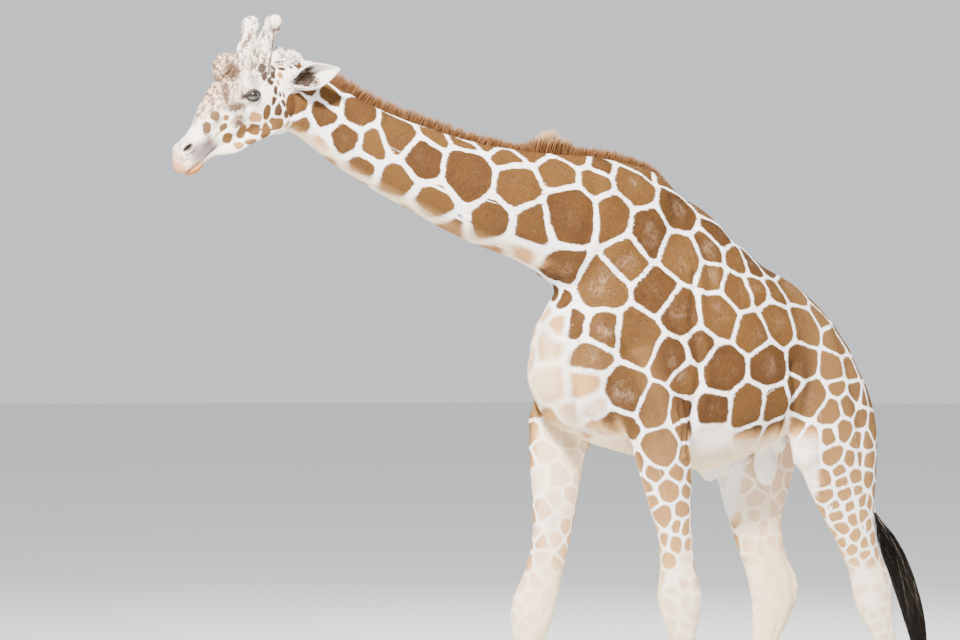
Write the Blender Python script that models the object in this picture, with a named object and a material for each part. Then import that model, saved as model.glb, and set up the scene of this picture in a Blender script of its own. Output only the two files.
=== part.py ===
"""A life-size adult male reticulated giraffe, standing in mid-stride with its neck lowered.

The animal faces -X, its left side is at -Y and the ground is at Z = 0. Every body form is a tube
swept through a few rows of sizes; the forms are fused, smoothed and then parted with thin cuts.
All sizes are in metres.
"""

import math

import bmesh
import bpy
import numpy as np
from mathutils import Matrix, Vector

# --- driving dimensions -----------------------------------------------------------------------
HEAD_PITCH = math.radians(34.6)  # the nose line below the horizontal
HEAD_ORIGIN = Vector((-1.927, 0.0, 3.306))  # between the ears
EYE_RADIUS = 0.026
EYE_PLACE = (0.212, 0.086, 0.097)  # along the head, above its axis, and out from the middle
HOOF_TOP = 0.125  # height of the coronet, where skin ends and hoof begins
NODE_GAP = 0.0005  # left between neighbouring nodes
BODY_VOXEL = 0.011
HEAD_VOXEL = 0.006
BODY_TRIANGLES = 3250
HEAD_TRIANGLES = 1450
RING_POINTS = 28
HORN_TRIANGLES = 170
TAIL_TRIANGLES = 200
SOFT_FROM, SOFT_WHOLE = 1.70, 1.90  # heights between which the trunk's extra softening sets in

# --- colours ----------------------------------------------------------------------------------
COAT_WHITE = (0.86, 0.80, 0.70)
PATCH_BROWN = (0.36, 0.19, 0.09)
CREAM = (0.85, 0.77, 0.62)
MANE_RUSSET = (0.33, 0.14, 0.05)
TUFT_BLACK = (0.02, 0.018, 0.016)
EYE_BLACK = (0.02, 0.015, 0.012)
HOOF_BROWN = (0.12, 0.09, 0.07)

LEFT, RIGHT = -1, 1
SIDE_NAMES = {LEFT: "left", RIGHT: "right"}
UP = Vector((0, 0, 1))
FORWARD = Vector((-1, 0, 0))
HEAD_ALONG = Vector((-math.cos(HEAD_PITCH), 0, -math.sin(HEAD_PITCH)))
HEAD_UP = Vector((-math.sin(HEAD_PITCH), 0, math.cos(HEAD_PITCH)))

# --- rows of the main forms -------------------------------------------------------------------
# x, height of the widest level, half width, height of the back, height of the belly,
# fullness above, fullness below (2 is an ellipse, less is a ridge, more is a box)
TRUNK = [
    (-0.655, 2.150, 0.030, 2.190, 2.110, 2.0, 2.0),
    (-0.645, 2.140, 0.100, 2.300, 2.000, 2.0, 2.0),
    (-0.590, 2.130, 0.170, 2.440, 1.880, 2.0, 2.0),
    (-0.460, 2.110, 0.225, 2.660, 1.775, 1.9, 2.0),
    (-0.300, 2.100, 0.255, 2.860, 1.705, 1.8, 2.0),
    (-0.100, 2.100, 0.280, 2.975, 1.650, 1.7, 2.1),
    (0.100, 2.100, 0.305, 2.880, 1.605, 1.7, 2.2),
    (0.300, 2.080, 0.325, 2.725, 1.590, 1.8, 2.2),
    (0.500, 2.070, 0.315, 2.615, 1.655, 1.9, 2.1),
    (0.680, 2.080, 0.280, 2.530, 1.750, 2.0, 2.0),
    (0.840, 2.090, 0.235, 2.440, 1.850, 2.0, 2.0),
    (0.950, 2.100, 0.185, 2.345, 1.930, 2.0, 2.0),
    (1.030, 2.110, 0.105, 2.240, 1.990, 2.0, 2.0),
    (1.055, 2.115, 0.030, 2.160, 2.060, 2.0, 2.0),
]
# x, z of the middle, half width, half depth, fullness
NECK = [
    (-1.975, 3.285, 0.070, 0.105, 2.0),
    (-1.900, 3.262, 0.090, 0.138, 2.0),
    (-1.817, 3.220, 0.094, 0.144, 2.0),
    (-1.615, 3.109, 0.102, 0.162, 2.0),
    (-1.253, 2.961, 0.118, 0.196, 2.0),
    (-0.962, 2.868, 0.138, 0.231, 1.95),
    (-0.672, 2.808, 0.165, 0.268, 1.9),
    (-0.430, 2.740, 0.195, 0.335, 1.85),
    (-0.180, 2.620, 0.205, 0.400, 1.8),
    (-0.020, 2.500, 0.165, 0.330, 1.8),
]
# along the head from between the ears, height of the widest level, half width, roof, floor,
# fullness above, fullness below
HEAD = [
    (-0.090, 0.040, 0.020, 0.060, 0.010, 2.0, 2.0),
    (-0.075, 0.045, 0.060, 0.110, -0.045, 2.0, 2.0),
    (-0.030, 0.050, 0.084, 0.143, -0.090, 2.1, 2.0),
    (0.030, 0.060, 0.094, 0.165, -0.112, 2.2, 1.9),
    (0.100, 0.070, 0.100, 0.182, -0.118, 2.2, 1.8),
    (0.160, 0.085, 0.112, 0.196, -0.117, 2.2, 1.7),
    (0.210, 0.090, 0.117, 0.200, -0.116, 2.2, 1.7),
    (0.270, 0.085, 0.105, 0.200, -0.110, 2.1, 1.7),
    (0.330, 0.068, 0.086, 0.186, -0.100, 2.0, 1.8),
    (0.390, 0.050, 0.072, 0.160, -0.087, 2.0, 1.9),
    (0.450, 0.036, 0.062, 0.128, -0.062, 2.1, 2.1),
    (0.500, 0.030, 0.058, 0.103, -0.046, 2.2, 2.2),
    (0.550, 0.025, 0.058, 0.090, -0.050, 2.3, 2.2),
    (0.585, 0.014, 0.055, 0.073, -0.052, 2.3, 2.2),
    (0.613, -0.001, 0.047, 0.047, -0.054, 2.2, 2.2),
    (0.635, -0.013, 0.032, 0.018, -0.048, 2.0, 2.0),
    (0.647, -0.022, 0.014, -0.006, -0.038, 2.0, 2.0),
]
# Forms on the head: along it, above its axis and out from the middle, with radii along, sideways and up
MIDDLE_BUMPS = [
    ((0.204, 0.205), (0.072, 0.060, 0.088)),  # the horn on the forehead
    ((0.275, 0.160), (0.080, 0.048, 0.050)),
    ((0.598, -0.012), (0.034, 0.042, 0.036)),
    ((0.575, -0.042), (0.050, 0.034, 0.020)),  # chin
    ((0.112, -0.096), (0.078, 0.062, 0.050)),  # throat
]
SIDE_BUMPS = [
    ((0.190, 0.122, 0.086), (0.066, 0.036, 0.034)),  # brow
    ((0.215, 0.048, 0.090), (0.066, 0.028, 0.026)),  # under the eye
    ((0.110, -0.020, 0.060), (0.090, 0.034, 0.070)),  # cheek
    ((0.330, 0.020, 0.056), (0.090, 0.022, 0.040)),
    ((0.568, 0.050, 0.036), (0.036, 0.024, 0.032)),  # beside the nostril
    ((0.060, 0.160, 0.052), (0.080, 0.052, 0.052)),  # under the horn
]
# along the head, above its axis, out, half width, half depth
JAW_BONE = [
    (0.110, -0.070, 0.058, 0.022, 0.034),
    (0.184, -0.081, 0.055, 0.024, 0.034),
    (0.244, -0.072, 0.051, 0.021, 0.030),
    (0.318, -0.064, 0.045, 0.019, 0.029),
    (0.384, -0.058, 0.041, 0.017, 0.029),
    (0.442, -0.036, 0.038, 0.016, 0.023),
    (0.500, -0.012, 0.034, 0.013, 0.016),
]
# A leg's rows: x, distance from the middle, z, half width, half depth, fullness
FORELEGS = {
    LEFT: [
        (-0.250, 0.195, 2.160, 0.090, 0.200, 2.0),
        (-0.200, 0.210, 1.980, 0.092, 0.195, 2.0),
        (-0.140, 0.210, 1.800, 0.090, 0.168, 2.0),
        (-0.103, 0.205, 1.620, 0.083, 0.143, 2.0),
        (-0.073, 0.200, 1.450, 0.076, 0.111, 2.0),
        (-0.042, 0.195, 1.300, 0.067, 0.087, 2.1),
        (-0.028, 0.190, 1.160, 0.067, 0.085, 2.2),
        (-0.016, 0.186, 1.060, 0.079, 0.096, 2.4),
        (-0.006, 0.182, 0.985, 0.084, 0.098, 2.5),
        (0.002, 0.180, 0.900, 0.073, 0.082, 2.4),
        (0.018, 0.178, 0.810, 0.052, 0.057, 2.2),
        (0.043, 0.175, 0.600, 0.046, 0.051, 2.1),
        (0.067, 0.172, 0.380, 0.049, 0.053, 2.1),
        (0.080, 0.171, 0.275, 0.065, 0.076, 2.2),
        (0.062, 0.170, 0.205, 0.060, 0.062, 2.2),
        (0.036, 0.170, 0.130, 0.070, 0.074, 2.2),
        (0.026, 0.170, 0.100, 0.070, 0.074, 2.2),
    ],
    RIGHT: [
        (-0.340, 0.195, 2.160, 0.090, 0.190, 2.0),
        (-0.375, 0.210, 1.980, 0.092, 0.185, 2.0),
        (-0.420, 0.210, 1.800, 0.090, 0.165, 2.0),
        (-0.443, 0.205, 1.620, 0.083, 0.142, 2.0),
        (-0.453, 0.200, 1.500, 0.078, 0.124, 2.0),
        (-0.467, 0.197, 1.350, 0.071, 0.106, 2.0),
        (-0.497, 0.192, 1.200, 0.068, 0.092, 2.1),
        (-0.532, 0.190, 1.090, 0.071, 0.092, 2.2),
        (-0.568, 0.187, 1.000, 0.079, 0.096, 2.4),
        (-0.592, 0.185, 0.925, 0.084, 0.098, 2.5),
        (-0.604, 0.183, 0.845, 0.071, 0.081, 2.4),
        (-0.616, 0.182, 0.770, 0.053, 0.058, 2.2),
        (-0.650, 0.180, 0.580, 0.046, 0.051, 2.1),
        (-0.690, 0.178, 0.380, 0.049, 0.053, 2.1),
        (-0.712, 0.177, 0.275, 0.065, 0.077, 2.2),
        (-0.748, 0.176, 0.200, 0.060, 0.062, 2.2),
        (-0.782, 0.175, 0.130, 0.070, 0.074, 2.2),
        (-0.794, 0.175, 0.100, 0.070, 0.074, 2.2),
    ],
}
HINDLEGS = {
    LEFT: [
        (0.700, 0.120, 2.290, 0.070, 0.130, 2.0),
        (0.745, 0.150, 2.180, 0.105, 0.190, 2.0),
        (0.800, 0.172, 2.040, 0.118, 0.212, 2.0),
        (0.864, 0.188, 1.880, 0.118, 0.238, 2.0),
        (0.890, 0.197, 1.720, 0.108, 0.245, 2.0),
        (0.922, 0.200, 1.570, 0.096, 0.212, 2.0),
        (0.955, 0.198, 1.440, 0.086, 0.172, 2.0),
        (0.990, 0.193, 1.330, 0.077, 0.130, 2.0),
        (1.035, 0.188, 1.210, 0.068, 0.103, 2.0),
        (1.080, 0.183, 1.100, 0.063, 0.090, 2.1),
        (1.112, 0.180, 1.010, 0.068, 0.096, 2.3),
        (1.143, 0.178, 0.910, 0.067, 0.090, 2.3),
        (1.185, 0.175, 0.800, 0.056, 0.066, 2.2),
        (1.213, 0.173, 0.725, 0.050, 0.054, 2.1),
        (1.280, 0.170, 0.500, 0.046, 0.049, 2.1),
        (1.334, 0.168, 0.360, 0.049, 0.052, 2.1),
        (1.360, 0.167, 0.275, 0.063, 0.074, 2.2),
        (1.346, 0.166, 0.200, 0.058, 0.060, 2.2),
        (1.322, 0.165, 0.130, 0.068, 0.071, 2.2),
        (1.313, 0.165, 0.100, 0.068, 0.071, 2.2),
    ],
    RIGHT: [
        (0.690, 0.120, 2.290, 0.070, 0.130, 2.0),
        (0.700, 0.150, 2.180, 0.105, 0.190, 2.0),
        (0.715, 0.172, 2.040, 0.118, 0.220, 2.0),
        (0.712, 0.188, 1.880, 0.118, 0.240, 2.0),
        (0.708, 0.197, 1.720, 0.108, 0.242, 2.0),
        (0.700, 0.200, 1.560, 0.097, 0.230, 2.0),
        (0.697, 0.198, 1.430, 0.088, 0.188, 2.0),
        (0.708, 0.195, 1.300, 0.079, 0.148, 2.0),
        (0.727, 0.190, 1.200, 0.073, 0.130, 2.0),
        (0.752, 0.185, 1.100, 0.067, 0.115, 2.1),
        (0.780, 0.182, 1.000, 0.069, 0.116, 2.3),
        (0.790, 0.180, 0.930, 0.069, 0.112, 2.3),
        (0.770, 0.178, 0.830, 0.063, 0.094, 2.2),
        (0.742, 0.176, 0.730, 0.054, 0.070, 2.1),
        (0.715, 0.174, 0.590, 0.047, 0.051, 2.1),
        (0.690, 0.172, 0.370, 0.049, 0.052, 2.1),
        (0.678, 0.171, 0.275, 0.063, 0.074, 2.2),
        (0.650, 0.170, 0.200, 0.058, 0.060, 2.2),
        (0.622, 0.170, 0.130, 0.068, 0.071, 2.2),
        (0.612, 0.170, 0.100, 0.068, 0.071, 2.2),
    ],
}
# Broad muscles and bones under the skin: x, distance from the middle, z, radii, tilt back in degrees
MUSCLES = {
    LEFT: [
        (-0.215, 0.122, 2.560, 0.170, 0.088, 0.400, 20),
        (-0.425, 0.150, 2.160, 0.130, 0.112, 0.215, 8),
        (-0.135, 0.180, 2.150, 0.165, 0.112, 0.330, 8),
        (-0.010, 0.205, 1.800, 0.058, 0.066, 0.120, -8),
    ],
    RIGHT: [
        (-0.245, 0.122, 2.560, 0.170, 0.088, 0.400, 22),
        (-0.470, 0.150, 2.150, 0.128, 0.112, 0.215, 4),
        (-0.215, 0.180, 2.140, 0.165, 0.112, 0.330, 22),
        (-0.310, 0.205, 1.760, 0.058, 0.066, 0.110, 10),
    ],
}
QUARTERS = {
    LEFT: [
        (0.400, 0.150, 2.390, 0.150, 0.085, 0.095, 25),
        (0.700, 0.095, 2.310, 0.200, 0.100, 0.105, 28),
        (0.930, 0.135, 2.040, 0.125, 0.090, 0.200, -12),
        (0.720, 0.205, 1.680, 0.090, 0.078, 0.150, -25),
    ],
    RIGHT: [
        (0.400, 0.150, 2.390, 0.150, 0.085, 0.095, 25),
        (0.700, 0.095, 2.310, 0.200, 0.100, 0.105, 28),
        (0.905, 0.135, 2.060, 0.125, 0.090, 0.200, -12),
        (0.530, 0.205, 1.640, 0.080, 0.078, 0.150, 0),
    ],
}
HEEL_CORDS = {
    LEFT: [
        (1.070, 0.188, 1.300, 0.022, 0.030, 2.0),
        (1.145, 0.184, 1.140, 0.024, 0.030, 2.0),
        (1.196, 0.181, 1.025, 0.033, 0.037, 2.2),
        (1.212, 0.179, 0.930, 0.030, 0.034, 2.0),
        (1.220, 0.176, 0.800, 0.024, 0.026, 2.0),
    ],
    RIGHT: [
        (0.800, 0.190, 1.270, 0.022, 0.032, 2.0),
        (0.862, 0.186, 1.110, 0.024, 0.030, 2.0),
        (0.907, 0.183, 0.985, 0.033, 0.038, 2.2),
        (0.880, 0.180, 0.880, 0.030, 0.036, 2.0),
        (0.820, 0.177, 0.770, 0.024, 0.030, 2.0),
    ],
}
# Rounded forms on the middle line, place and radii: scrotum and its root, sheath and its tip, breast
UNDER_FORMS = [
    ((0.620, 0.0, 1.610), (0.066, 0.052, 0.118)),
    ((0.640, 0.0, 1.720), (0.100, 0.075, 0.080)),
    ((0.330, 0.0, 1.590), (0.120, 0.032, 0.045)),
    ((0.285, 0.0, 1.560), (0.042, 0.028, 0.036)),
    ((-0.535, 0.0, 2.130), (0.135, 0.185, 0.270)),
]
# x, y, z, half width, half depth
TAIL = [
    (0.905, 0.000, 2.285, 0.050, 0.060),
    (0.990, 0.006, 2.225, 0.042, 0.050),
    (1.070, 0.020, 2.080, 0.032, 0.036),
    (1.145, 0.036, 1.900, 0.025, 0.027),
    (1.203, 0.046, 1.710, 0.020, 0.021),
    (1.262, 0.050, 1.520, 0.018, 0.018),
    (1.325, 0.050, 1.335, 0.017, 0.017),
]
TAIL_TUFT = [
    (1.322, 0.050, 1.345, 0.012, 0.014),
    (1.352, 0.050, 1.290, 0.026, 0.036),
    (1.405, 0.050, 1.195, 0.038, 0.058),
    (1.470, 0.050, 1.070, 0.044, 0.068),
    (1.535, 0.050, 0.920, 0.044, 0.068),
    (1.590, 0.050, 0.760, 0.040, 0.058),
    (1.620, 0.050, 0.620, 0.030, 0.040),
    (1.635, 0.050, 0.520, 0.014, 0.016),
]
# x, z of the ridge under the hair, height of the hair over it
MANE = [
    (-1.880, 3.385, 0.020),
    (-1.830, 3.368, 0.050),
    (-1.700, 3.318, 0.060),
    (-1.500, 3.232, 0.056),
    (-1.320, 3.170, 0.056),
    (-1.140, 3.128, 0.050),
    (-0.960, 3.088, 0.044),
    (-0.760, 3.068, 0.040),
    (-0.700, 3.066, 0.060),
    (-0.660, 3.064, 0.098),
    (-0.560, 3.060, 0.086),
    (-0.480, 3.058, 0.050),
    (-0.300, 3.056, 0.046),
    (-0.160, 3.032, 0.040),
    (-0.050, 2.985, 0.030),
    (0.040, 2.915, 0.012),
]
MANE_HALF_WIDTH = 0.022
MANE_PROFILE = ((-1.0, 0.0), (-0.62, 0.70), (0.0, 1.0), (0.62, 0.70), (1.0, 0.0))  # across and up
MANE_ROOT_DEPTH = 0.030  # how far its strip starts inside the neck, before it is cut to fit


# --- shaping tools ----------------------------------------------------------------------------
def clear_scene():
    for thing in list(bpy.data.objects):
        bpy.data.objects.remove(thing, do_unlink=True)


def smooth_rows(rows, spacing):
    """More rows along the same curve, by cubic pieces through the given ones."""
    rows = np.array(rows, float)
    steps = np.linalg.norm(np.diff(rows[:, :3], axis=0), axis=1)
    where = np.concatenate([[0.0], np.cumsum(steps)])
    slopes = np.gradient(rows, where, axis=0)
    made = []
    for i, step in enumerate(steps):
        count = max(1, math.ceil(step / spacing))
        for t in np.arange(count) / count:
            here, leaving = 2 * t**3 - 3 * t**2 + 1, t**3 - 2 * t**2 + t
            there, arriving = 3 * t**2 - 2 * t**3, t**3 - t**2
            start = here * rows[i] + leaving * step * slopes[i]
            made.append(start + there * rows[i + 1] + arriving * step * slopes[i + 1])
    return np.array([*made, rows[-1]])


def ring(centre, side, upward, half_side, above, below, full_above, full_below):
    """The points of one cross-section, a superellipse with its own height above and below."""
    points = []
    for k in range(RING_POINTS):
        angle = 2 * math.pi * k / RING_POINTS
        c, s = math.cos(angle), math.sin(angle)
        height, full = (above, full_above) if s >= 0 else (below, full_below)
        across = math.copysign(abs(c) ** (2 / full), c) * half_side
        rise = math.copysign(abs(s) ** (2 / full), s) * height
        points.append(centre + side * across + upward * rise)
    return points


def tube(rows, up, spacing=0.03):
    """A closed bmesh swept through rows of x, y, z, half side, above, below, fullness above and below."""
    rows = smooth_rows(rows, spacing)
    places = [Vector(row[:3]) for row in rows]
    shape = bmesh.new()
    loops = []
    for i, row in enumerate(rows):
        along = (places[min(i + 1, len(rows) - 1)] - places[max(i - 1, 0)]).normalized()
        upward = (up - up.dot(along) * along).normalized()
        side = upward.cross(along).normalized()
        loops.append([shape.verts.new(p) for p in ring(places[i], side, upward, *row[3:])])
    for first, second in zip(loops, loops[1:]):
        for k in range(RING_POINTS):
            following = (k + 1) % RING_POINTS
            shape.faces.new((first[k], first[following], second[following], second[k]))
    shape.faces.new(loops[0])
    shape.faces.new(loops[-1])
    bmesh.ops.recalc_face_normals(shape, faces=shape.faces)
    return shape


def ball(centre, radii, turn=None, fineness=3):
    """A closed bmesh ellipsoid. turn is a rotation matrix."""
    shape = bmesh.new()
    bmesh.ops.create_icosphere(shape, subdivisions=fineness, radius=1)
    place = Matrix.Translation(Vector(centre)) @ (turn or Matrix.Identity(4)) @ Matrix.Diagonal((*radii, 1))
    bmesh.ops.transform(shape, matrix=place, verts=shape.verts)
    return shape


def as_object(shape, name):
    mesh = bpy.data.meshes.new(name)
    shape.to_mesh(mesh)
    shape.free()
    thing = bpy.data.objects.new(name, mesh)
    bpy.context.scene.collection.objects.link(thing)
    return thing


def joined(shapes, name):
    """All of these bmeshes as one object's mesh."""
    whole = bmesh.new()
    for shape in shapes:
        mesh = bpy.data.meshes.new("piece")
        shape.to_mesh(mesh)
        shape.free()
        whole.from_mesh(mesh)
        bpy.data.meshes.remove(mesh)
    return as_object(whole, name)


def applied(thing):
    """Replaces the object's mesh by what its modifiers make of it."""
    bpy.context.view_layer.update()
    made = bpy.data.meshes.new_from_object(thing.evaluated_get(bpy.context.evaluated_depsgraph_get()))
    thing.modifiers.clear()
    thing.data = made
    return thing


def fused(shapes, name, voxel, smoothing, triangles, broad=0):
    """One closed skin over all these forms, smoothed where they meet and thinned to so many triangles."""
    thing = joined(shapes, name)
    remesh = thing.modifiers.new("fuse", "REMESH")
    remesh.mode = "VOXEL"
    remesh.voxel_size = voxel
    smooth = thing.modifiers.new("smooth", "SMOOTH")
    smooth.factor = 0.5
    smooth.iterations = smoothing
    applied(thing)
    if broad:
        soften_trunk(thing, broad)
    thin = thing.modifiers.new("thin", "DECIMATE")
    thin.ratio = triangles / (2 * len(thing.data.polygons))
    thin.use_collapse_triangulate = True
    return applied(thing)


def soften_trunk(thing, iterations):
    """Blends the muscles of the trunk more than the slender legs could bear."""
    group = thing.vertex_groups.new(name="trunk")
    for v in thing.data.vertices:
        share = min(1.0, max(0.0, (v.co.z - SOFT_FROM) / (SOFT_WHOLE - SOFT_FROM)))
        if share > 0:
            group.add([v.index], share, "REPLACE")
    soft = thing.modifiers.new("soften", "SMOOTH")
    soft.factor = 0.5
    soft.iterations = iterations
    soft.vertex_group = group.name
    applied(thing)
    thing.vertex_groups.clear()


def copy_of(thing, name):
    twin = bpy.data.objects.new(name, thing.data.copy())
    bpy.context.scene.collection.objects.link(twin)
    return twin


def cut_off(thing, point, normal):
    """Removes what lies beyond the plane, on the side that normal points to, and closes the cut."""
    shape = bmesh.new()
    shape.from_mesh(thing.data)
    found = bmesh.ops.bisect_plane(
        shape, geom=[*shape.verts, *shape.edges, *shape.faces], dist=1e-7,
        plane_co=point, plane_no=normal, clear_outer=True,
    )
    rim = [e for e in found["geom_cut"] if isinstance(e, bmesh.types.BMEdge)]
    bmesh.ops.triangle_fill(shape, edges=rim, use_beauty=True)
    bmesh.ops.recalc_face_normals(shape, faces=shape.faces)
    shape.to_mesh(thing.data)
    shape.free()
    return thing


def between(thing, name, cuts):
    """A copy of thing, cut by each (point, normal) and kept half a gap clear of each plane."""
    part = copy_of(thing, name)
    for point, normal in cuts:
        normal = Vector(normal).normalized()
        cut_off(part, Vector(point) - normal * NODE_GAP / 2, normal)
    return part


def boolean(thing, other, operation):
    """thing with the other object's volume taken away or kept."""
    step = thing.modifiers.new(operation, "BOOLEAN")
    step.operation = operation
    step.solver = "EXACT"
    step.object = other
    return applied(thing)


def discard(thing):
    bpy.data.objects.remove(thing, do_unlink=True)


def swollen(thing, by):
    """A helper copy of thing, larger by the given distance all round."""
    helper = copy_of(thing, "swollen")
    grow = helper.modifiers.new("grow", "DISPLACE")
    grow.mid_level = 0.0
    grow.strength = by
    return applied(helper)


def fitted_on(thing, *supports):
    """Cuts thing so that it sits on its supports with a thin gap."""
    for support in supports:
        helper = swollen(support, NODE_GAP)
        boolean(thing, helper, "DIFFERENCE")
        discard(helper)
    return keep_largest(thing)


def keep_largest(thing):
    """Drops all but the largest of the separate shells that a cut may leave."""
    shape = bmesh.new()
    shape.from_mesh(thing.data)
    left = set(shape.verts)
    shells = []
    while left:
        stack = [left.pop()]
        shell = set(stack)
        while stack:
            for edge in stack.pop().link_edges:
                for vertex in edge.verts:
                    if vertex in left:
                        left.discard(vertex)
                        shell.add(vertex)
                        stack.append(vertex)
        shells.append(shell)
    largest = max(shells, key=len)
    bmesh.ops.delete(shape, geom=[v for v in shape.verts if v not in largest], context="VERTS")
    shape.to_mesh(thing.data)
    shape.free()
    return thing


def block(corners):
    """A convex bmesh over the given corner points."""
    shape = bmesh.new()
    for corner in corners:
        shape.verts.new(corner)
    hull = bmesh.ops.convex_hull(shape, input=shape.verts)
    bmesh.ops.delete(shape, geom=hull["geom_unused"] + hull["geom_interior"], context="VERTS")
    bmesh.ops.recalc_face_normals(shape, faces=shape.faces)
    return shape


def finish(thing, colour, roughness):
    """Gives a node its material, and smooth shading up to a crease angle."""
    surface = bpy.data.materials.new(thing.name)
    surface.use_nodes = True
    shader = surface.node_tree.nodes["Principled BSDF"]
    shader.inputs["Base Color"].default_value = (*colour, 1)
    shader.inputs["Roughness"].default_value = roughness
    thing.data.materials.clear()
    thing.data.materials.append(surface)
    thing.data.shade_smooth()
    thing.data.set_sharp_from_angle(angle=math.radians(40))
    return thing


# --- places on the head -----------------------------------------------------------------------
def on_head(along, above, out=0.0):
    """A point given by its place along the head, above the head's axis and out from the middle."""
    return HEAD_ORIGIN + HEAD_ALONG * along + HEAD_UP * above + Vector((0, out, 0))


def head_turn():
    """Turns X to the nose, Y sideways and Z to the top of the head."""
    return Matrix((HEAD_ALONG, Vector((0, 1, 0)), HEAD_UP)).transposed().to_4x4()


# --- the forms --------------------------------------------------------------------------------
def trunk_form():
    rows = []
    for x, wide, half, back, belly, above, below in TRUNK:
        rows.append((x, 0, wide, half, back - wide, wide - belly, above, below))
    return tube(rows, UP)


def neck_form():
    return tube([(x, 0, z, half, deep, deep, full, full) for x, z, half, deep, full in NECK], UP)


def leg_form(rows, side):
    placed = [(x, side * out, z, half, deep, deep, full, full) for x, out, z, half, deep, full in rows]
    return tube(placed, FORWARD)


def muscle_forms(table, side):
    return [
        ball((x, side * out, z), radii, Matrix.Rotation(math.radians(tilt), 4, "Y"))
        for x, out, z, *radii, tilt in table[side]
    ]


def body_forms():
    forms = [trunk_form(), neck_form()]
    for place, radii in UNDER_FORMS:
        forms.append(ball(place, radii))
    for side in (LEFT, RIGHT):
        forms += [leg_form(FORELEGS[side], side), leg_form(HINDLEGS[side], side)]
        forms += [leg_form(HEEL_CORDS[side], side)]
        forms += muscle_forms(MUSCLES, side) + muscle_forms(QUARTERS, side)
    return forms


def head_forms():
    """The skull and jaws, with the brow, cheek, nostril and lip forms on them, and the top of the neck."""
    rows = [
        (*on_head(along, wide), half, roof - wide, wide - floor, full, fuller)
        for along, wide, half, roof, floor, full, fuller in HEAD
    ]
    forms = [tube(rows, HEAD_UP, 0.015), neck_form()]
    turn = head_turn()
    for place, radii in MIDDLE_BUMPS:
        forms.append(ball(on_head(*place), radii, turn))
    for side in (LEFT, RIGHT):
        for (along, above, out), radii in SIDE_BUMPS:
            forms.append(ball(on_head(along, above, side * out), radii, turn))
        jaw = []
        for along, above, out, half, deep in JAW_BONE:
            jaw.append((*on_head(along, above, side * out), half, deep, deep, 2.2, 2.2))
        forms.append(tube(jaw, HEAD_UP))
    return forms


# --- nodes cut from the body ------------------------------------------------------------------
HEAD_CUT = (Vector((-1.870, 0, 3.250)), Vector((0.86, 0, -0.51)))  # normal points down the neck
NECK_CUTS = [
    (Vector((-1.520, 0, 3.060)), Vector((0.91, 0, -0.42))),
    (Vector((-1.060, 0, 2.900)), Vector((0.94, 0, -0.34))),
    (Vector((-0.560, 0, 2.760)), Vector((0.88, 0, -0.47))),
]
NECK_NAMES = ("neck_upper", "neck_middle", "neck_lower")
KNEE_HEIGHTS = {
    ("foreleg", LEFT): 1.115,
    ("foreleg", RIGHT): 1.060,
    ("hindleg", LEFT): 1.180,
    ("hindleg", RIGHT): 1.140,
}


def backwards(cut):
    point, normal = cut
    return point, -normal


def neck_nodes(body):
    cuts = [HEAD_CUT, *NECK_CUTS]
    for name, front, rear in zip(NECK_NAMES, cuts, cuts[1:]):
        finish(between(body, name, [backwards(front), rear]), PATCH_BROWN, 0.8)


# A leg's space: how far from the middle it starts, how high it reaches there and at its outer
# side, and how much its front and back lean as they rise
LEG_SPACES = {"foreleg": (0.085, 1.700, 2.060, -0.12), "hindleg": (0.078, 1.830, 2.380, -0.06)}
LEG_SPACE_OUTER = 0.55
# Its outline from the side, without the top: x and z, from the front of the thigh or shoulder
# round under the foot
LEG_OUTLINES = {
    ("foreleg", LEFT): (
        (-0.300, 1.600), (-0.60, 1.45), (-0.60, -0.2), (0.6, -0.2), (0.6, 1.45), (0.062, 1.52),
    ),
    ("foreleg", RIGHT): (
        (-0.720, 1.600), (-1.20, 1.45), (-1.20, -0.2), (0.2, -0.2), (0.2, 1.30), (-0.290, 1.54),
    ),
    ("hindleg", LEFT): (
        (0.590, 1.650), (0.50, 1.45), (0.40, -0.2), (1.8, -0.2), (1.8, 1.45), (1.500, 1.60),
    ),
    ("hindleg", RIGHT): (
        (0.430, 1.630), (0.10, 1.45), (0.10, -0.2), (1.5, -0.2), (1.5, 1.45), (1.400, 1.60),
    ),
}


def leg_space(kind, side):
    """A closed bmesh round one leg: clear of the belly, with a top that rises outwards."""
    inner, low_top, high_top, lean = LEG_SPACES[kind]
    outline = LEG_OUTLINES[kind, side]
    shape = bmesh.new()
    loops = []
    for out, top in ((inner, low_top), (LEG_SPACE_OUTER, high_top)):
        (front_x, front_z), (rear_x, rear_z) = outline[0], outline[-1]
        corners = [*outline, (rear_x + lean * (top - rear_z), top), (front_x + lean * (top - front_z), top)]
        loops.append([shape.verts.new((x, side * out, z)) for x, z in corners])
    count = len(loops[0])
    for k in range(count):
        following = (k + 1) % count
        shape.faces.new((loops[0][k], loops[0][following], loops[1][following], loops[1][k]))
    shape.faces.new(loops[0])
    shape.faces.new(loops[1])
    bmesh.ops.recalc_face_normals(shape, faces=shape.faces)
    return shape


def limb_nodes(body, kind, side, cutter):
    """A leg as an upper and a lower length, parted at the knee or hock."""
    limb = boolean(copy_of(body, "limb"), cutter, "INTERSECT")
    keep_largest(limb)
    knee = Vector((0, 0, KNEE_HEIGHTS[kind, side]))
    name = f"{kind}_{SIDE_NAMES[side]}"
    finish(between(limb, f"{name}_upper", [(knee, -UP)]), PATCH_BROWN, 0.8)
    finish(between(limb, f"{name}_lower", [(knee, UP), (UP * HOOF_TOP, -UP)]), CREAM, 0.8)
    discard(limb)


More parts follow.
